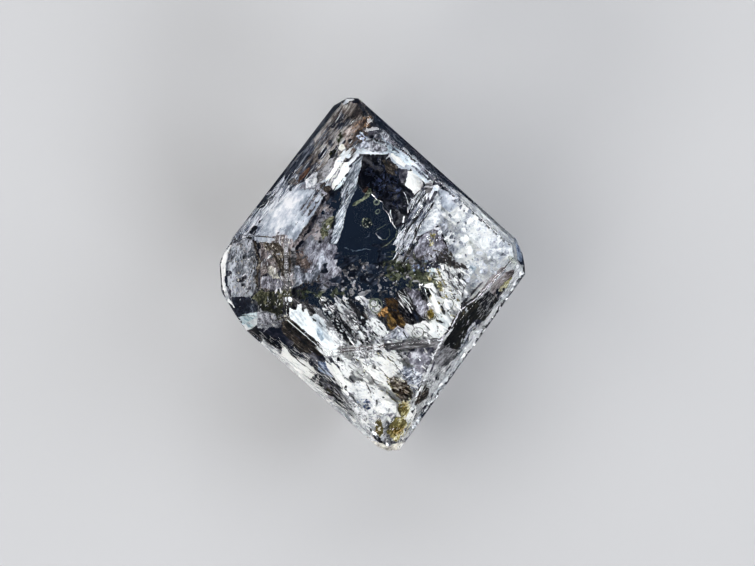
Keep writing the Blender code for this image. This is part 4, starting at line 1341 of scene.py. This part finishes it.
class QUARTZ_OT_crystal(bpy.types.Operator):
    """Cut the clear crystal to its faces, wear its edges and step its faces"""

    bl_idname = "quartz.crystal"
    bl_label = "Crystal"

    def execute(self, context):
        props = context.scene.quartz
        select_none()
        bpy.ops.mesh.primitive_cube_add(size=BLOCK, location=MIDDLE)
        crystal = context.object
        crystal.name = crystal.data.name = "clear_crystal"
        bpy.ops.object.transform_apply(location=True, rotation=True, scale=True)
        bpy.ops.object.mode_set(mode="EDIT")
        for normal, distance in PLANES:
            bpy.ops.mesh.select_all(action="SELECT")
            bpy.ops.mesh.bisect(
                plane_co=MIDDLE + normal * distance, plane_no=normal,
                use_fill=True, clear_outer=True, threshold=CUT_THRESHOLD,
            )
        bpy.ops.mesh.select_all(action="SELECT")
        bpy.ops.mesh.remove_doubles(threshold=MERGE_DISTANCE)
        bpy.ops.mesh.normals_make_consistent(inside=False)
        bpy.ops.mesh.bevel(offset=props.edge_wear, segments=WORN_SEGMENTS, clamp_overlap=True)
        for axis, half in SLICED:
            for count in range(int(2.0 * half / SLICE)):
                cut = MIDDLE.copy()
                cut[axis] += (count * SLICE - half) * MM
                facing = Vector((float(axis == 0), float(axis == 1), 0.0))
                bpy.ops.mesh.select_all(action="SELECT")
                bpy.ops.mesh.bisect(plane_co=cut, plane_no=facing, threshold=CUT_THRESHOLD)
        bpy.ops.mesh.select_all(action="SELECT")
        bpy.ops.mesh.subdivide(number_cuts=1)
        bpy.ops.mesh.normals_make_consistent(inside=False)
        bpy.ops.object.mode_set(mode="OBJECT")
        bpy.ops.object.shade_smooth_by_angle(angle=SHARP)
        normals = [vertex.normal.copy() for vertex in crystal.data.vertices]
        for vertex, normal in zip(crystal.data.vertices, normals):
            if max(abs(n.dot(normal)) for n, _ in PLANES) > FLAT_FACE:
                vertex.co += normal * props.step_height * growth_steps(vertex.co)
        crystal.data.materials.append(
            clear(
                "rock_crystal", QUARTZ_IOR, roughness=0.0, wave=0.5, detail=4.0, strength=0.3,
                density=30.0, colour=(0.82, 0.88, 0.97),
            )
        )
        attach(crystal, "root")
        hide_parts(CRYSTAL_NODE)
        return {"FINISHED"}


class QUARTZ_OT_veils(bpy.types.Operator):
    """Add the rippled veils and the clouds of flakes"""

    bl_idname = "quartz.veils"
    bl_label = "Veils"

    def execute(self, context):
        finishes = {name: veil(name, **look) for name, look in FINISHES.items()}
        for seed, (name, finish, depth, outline) in enumerate(SHEETS):
            piece = sheet(name, points(outline), depth, seed, **FINISHES[finish])
            seal_in(piece, finishes[finish])
        shapes = flake_shapes(ragged=0.4, seed=11)
        for seed, (name, finish, *strewn, outline) in enumerate(CLOUDS):
            places = cloud(points(outline), *strewn, seed)
            seal_in(copies(name, shapes, places), finishes[finish])
        return {"FINISHED"}


class QUARTZ_OT_lines(bpy.types.Operator):
    """Add the thin cracks and growth lines"""

    bl_idname = "quartz.lines"
    bl_label = "Lines"

    def execute(self, context):
        finishes = {name: line_finish(name, *look) for name, look in LINE_FINISHES.items()}
        shapes = flake_shapes(ragged=0.3, seed=23)
        for seed, (name, finish, depth, width, path) in enumerate(TRAILS):
            places = trail(points(path), depth, width, seed)
            seal_in(copies(name, shapes, places), finishes[finish])
        return {"FINISHED"}


class QUARTZ_OT_bubbles(bpy.types.Operator):
    """Add the gas bubbles and the dark rims of the larger ones"""

    bl_idname = "quartz.bubbles"
    bl_label = "Bubbles"

    def execute(self, context):
        gas = line_finish("gas", (0.95, 0.97, 1.0), shine=0.6, roughness=0.15)
        rim = line_finish("bubble_rim", (0.15, 0.18, 0.13), shine=0.1, roughness=0.3)
        beads = []
        for right, up, depth, radius in BUBBLES:
            beads.append(flake_place(seen(right, up, depth)[0], 0.0, 0.0, 0.0, [2.0 * radius] * 3))
        shapes = lump_shapes(count=3, subdivisions=3, rough=0.06, seed=5)
        seal_in(copies("bubbles", shapes, beads), gas)
        for number, (right, up, depth, radius, thin) in enumerate(RINGS):
            size = [share * radius for share in RING_SQUASH]
            point, _ = seen(right, up, depth)
            place = flake_place(point, RING_TURN * number, RING_TILT, 0.0, size)
            ring = copies(f"bubble_rim_{number}", [ring_shape(thin)], [place])
            seal_in(ring, rim)
        return {"FINISHED"}


class QUARTZ_OT_petroleum(bpy.types.Operator):
    """Add the sealed pockets of oil"""

    bl_idname = "quartz.petroleum"
    bl_label = "Petroleum"

    def execute(self, context):
        oils = {
            name: clear(
                name, OIL_IOR, roughness=0.02, wave=0.15, detail=3.0, strength=0.4,
                density=OIL_STRENGTH / OIL_DEPTH, colour=colour,
            )
            for name, colour in OILS.items()
        }
        shapes = lump_shapes(len(POCKETS), subdivisions=4, rough=0.35, seed=31)
        for number, (name, finish, depth, halves, angle, (right, up)) in enumerate(POCKETS):
            size = [2.0 * half for half in halves]
            place = flake_place(seen(right, up, depth)[0], radians(angle), 0.0, 0.0, size)
            pocket = copies(name, [shapes[number]], [place])
            pocket.data.shade_smooth()
            seal_in(pocket, oils[finish])
        return {"FINISHED"}


class QUARTZ_OT_bitumen(bpy.types.Operator):
    """Add the black solid bitumen"""

    bl_idname = "quartz.bitumen"
    bl_label = "Bitumen"

    def execute(self, context):
        stops = ((0.40, (0.004, 0.003, 0.003)), (0.65, (0.05, 0.035, 0.025)))
        black = speckled("bitumen", stops, size=0.1, detail=4.0, depth=0.02, Roughness=0.35)
        shapes = lump_shapes(FLAKE_SHAPES, subdivisions=2, rough=0.5, seed=41)
        for seed, (name, count, depths, sizes, angle, spread, outline) in enumerate(BITUMEN):
            places = cloud(
                points(outline), count, depths, sizes, BITUMEN_SLIMNESS, angle, spread, seed,
                BITUMEN_THICKNESS,
            )
            seal_in(copies(name, shapes, places), black)
        return {"FINISHED"}


def soft_light(name, azimuth, elevation, size, power, colour):
    """A soft box that faces the crystal, from an azimuth (from +Y to +X) and an elevation."""
    a, e = radians(azimuth), radians(elevation)
    towards = Vector((sin(a) * cos(e), cos(a) * cos(e), sin(e)))
    data = bpy.data.lights.new(name, "AREA")
    data.shape = "RECTANGLE"
    data.size, data.size_y = size
    data.energy = power
    data.color = colour
    light = bpy.data.objects.new(name, data)
    light.location = MIDDLE + towards * LIGHT_DISTANCE
    light.rotation_euler = towards.to_track_quat("Z", "Y").to_euler()
    bpy.context.scene.collection.objects.link(light)


def studio_world():
    """A dark studio, a little paler at the horizon, behind a plain pale backdrop.

    The eye sees the backdrop, and the crystal mirrors and refracts the studio.
    """
    world = bpy.data.worlds.new("studio")
    world.use_nodes = True
    tree = world.node_tree
    place = tree.nodes.new("ShaderNodeTexCoord")
    parts = tree.nodes.new("ShaderNodeSeparateXYZ")
    height = tree.nodes.new("ShaderNodeMapRange")
    set_sockets(height, From_Min=-1.0)
    tree.links.new(place.outputs["Generated"], parts.inputs[0])
    tree.links.new(parts.outputs["Z"], height.inputs["Value"])
    sky = ramp(tree, height.outputs[0], STUDIO_STOPS)
    seen_by_eye = tree.nodes.new("ShaderNodeLightPath")
    backdrop = tree.nodes.new("ShaderNodeMix")
    backdrop.data_type = "RGBA"
    backdrop.inputs["B"].default_value = BACKDROP_COLOUR
    tree.links.new(seen_by_eye.outputs["Is Camera Ray"], backdrop.inputs["Factor"])
    tree.links.new(sky, backdrop.inputs["A"])
    tree.links.new(backdrop.outputs["Result"], tree.nodes["Background"].inputs["Color"])
    return world


class QUARTZ_OT_stage(bpy.types.Operator):
    """Add the floor, the soft lights and the camera"""

    bl_idname = "quartz.stage"
    bl_label = "Stage"

    def execute(self, context):
        props = context.scene.quartz
        select_none()
        bpy.ops.mesh.primitive_plane_add(size=FLOOR_SIZE, location=(0.0, 0.0, -FLOOR_GAP))
        floor_plane = context.object
        floor_plane.name = "floor"
        material, _, _ = new_material(
            "floor", Base_Color=props.floor_colour, Roughness=0.9, Specular_IOR_Level=0.1
        )
        floor_plane.data.materials.append(material)
        # The crystal shows the dark studio below it in place of the pale floor.
        floor_plane.visible_transmission = False
        floor_plane.visible_glossy = False
        for name, azimuth, elevation, size, share, colour in LIGHTS:
            soft_light(name, azimuth, elevation, size, props.light_power * share, colour)
        context.scene.world = studio_world()

        data = bpy.data.cameras.new("camera")
        data.sensor_width = SENSOR_WIDTH
        data.lens = SENSOR_WIDTH * EYE_DISTANCE / VIEW_WIDTH
        data.clip_start = CLIP_START
        data.clip_end = CLIP_END
        camera = bpy.data.objects.new("camera", data)
        camera.location = EYE + AIM
        camera.rotation_euler = TURN.transposed().to_euler()
        context.scene.collection.objects.link(camera)
        context.scene.camera = camera
        context.scene.view_settings.view_transform = "Standard"
        return {"FINISHED"}


class QUARTZ_PT_panel(bpy.types.Panel):
    """Shows the sizes and colours that a user may change, and a button for each kind of piece"""

    bl_label = "Petroleum quartz"
    bl_space_type = "VIEW_3D"
    bl_region_type = "UI"
    bl_category = "Quartz"

    def draw(self, context):
        for name in QuartzProperties.__annotations__:
            self.layout.prop(context.scene.quartz, name)
        for operator in OPERATORS:
            self.layout.operator(operator.bl_idname)


OPERATORS = (
    QUARTZ_OT_crystal,
    QUARTZ_OT_veils,
    QUARTZ_OT_lines,
    QUARTZ_OT_bubbles,
    QUARTZ_OT_petroleum,
    QUARTZ_OT_bitumen,
    QUARTZ_OT_stage,
)
CLASSES = (QuartzProperties, *OPERATORS, QUARTZ_PT_panel)


def register():
    """Add the classes, and the scene's own sizes and colours."""
    for item in CLASSES:
        bpy.utils.register_class(item)
    bpy.types.Scene.quartz = PointerProperty(type=QuartzProperties)


def unregister():
    """Take away what register added."""
    del bpy.types.Scene.quartz
    for item in reversed(CLASSES):
        bpy.utils.unregister_class(item)


def main():
    """Make the pieces and the stage."""
    register()
    bpy.ops.quartz.crystal()
    bpy.ops.quartz.veils()
    bpy.ops.quartz.lines()
    bpy.ops.quartz.bubbles()
    bpy.ops.quartz.petroleum()
    bpy.ops.quartz.bitumen()
    bpy.ops.quartz.stage()


if __name__ == "__main__":
    main()
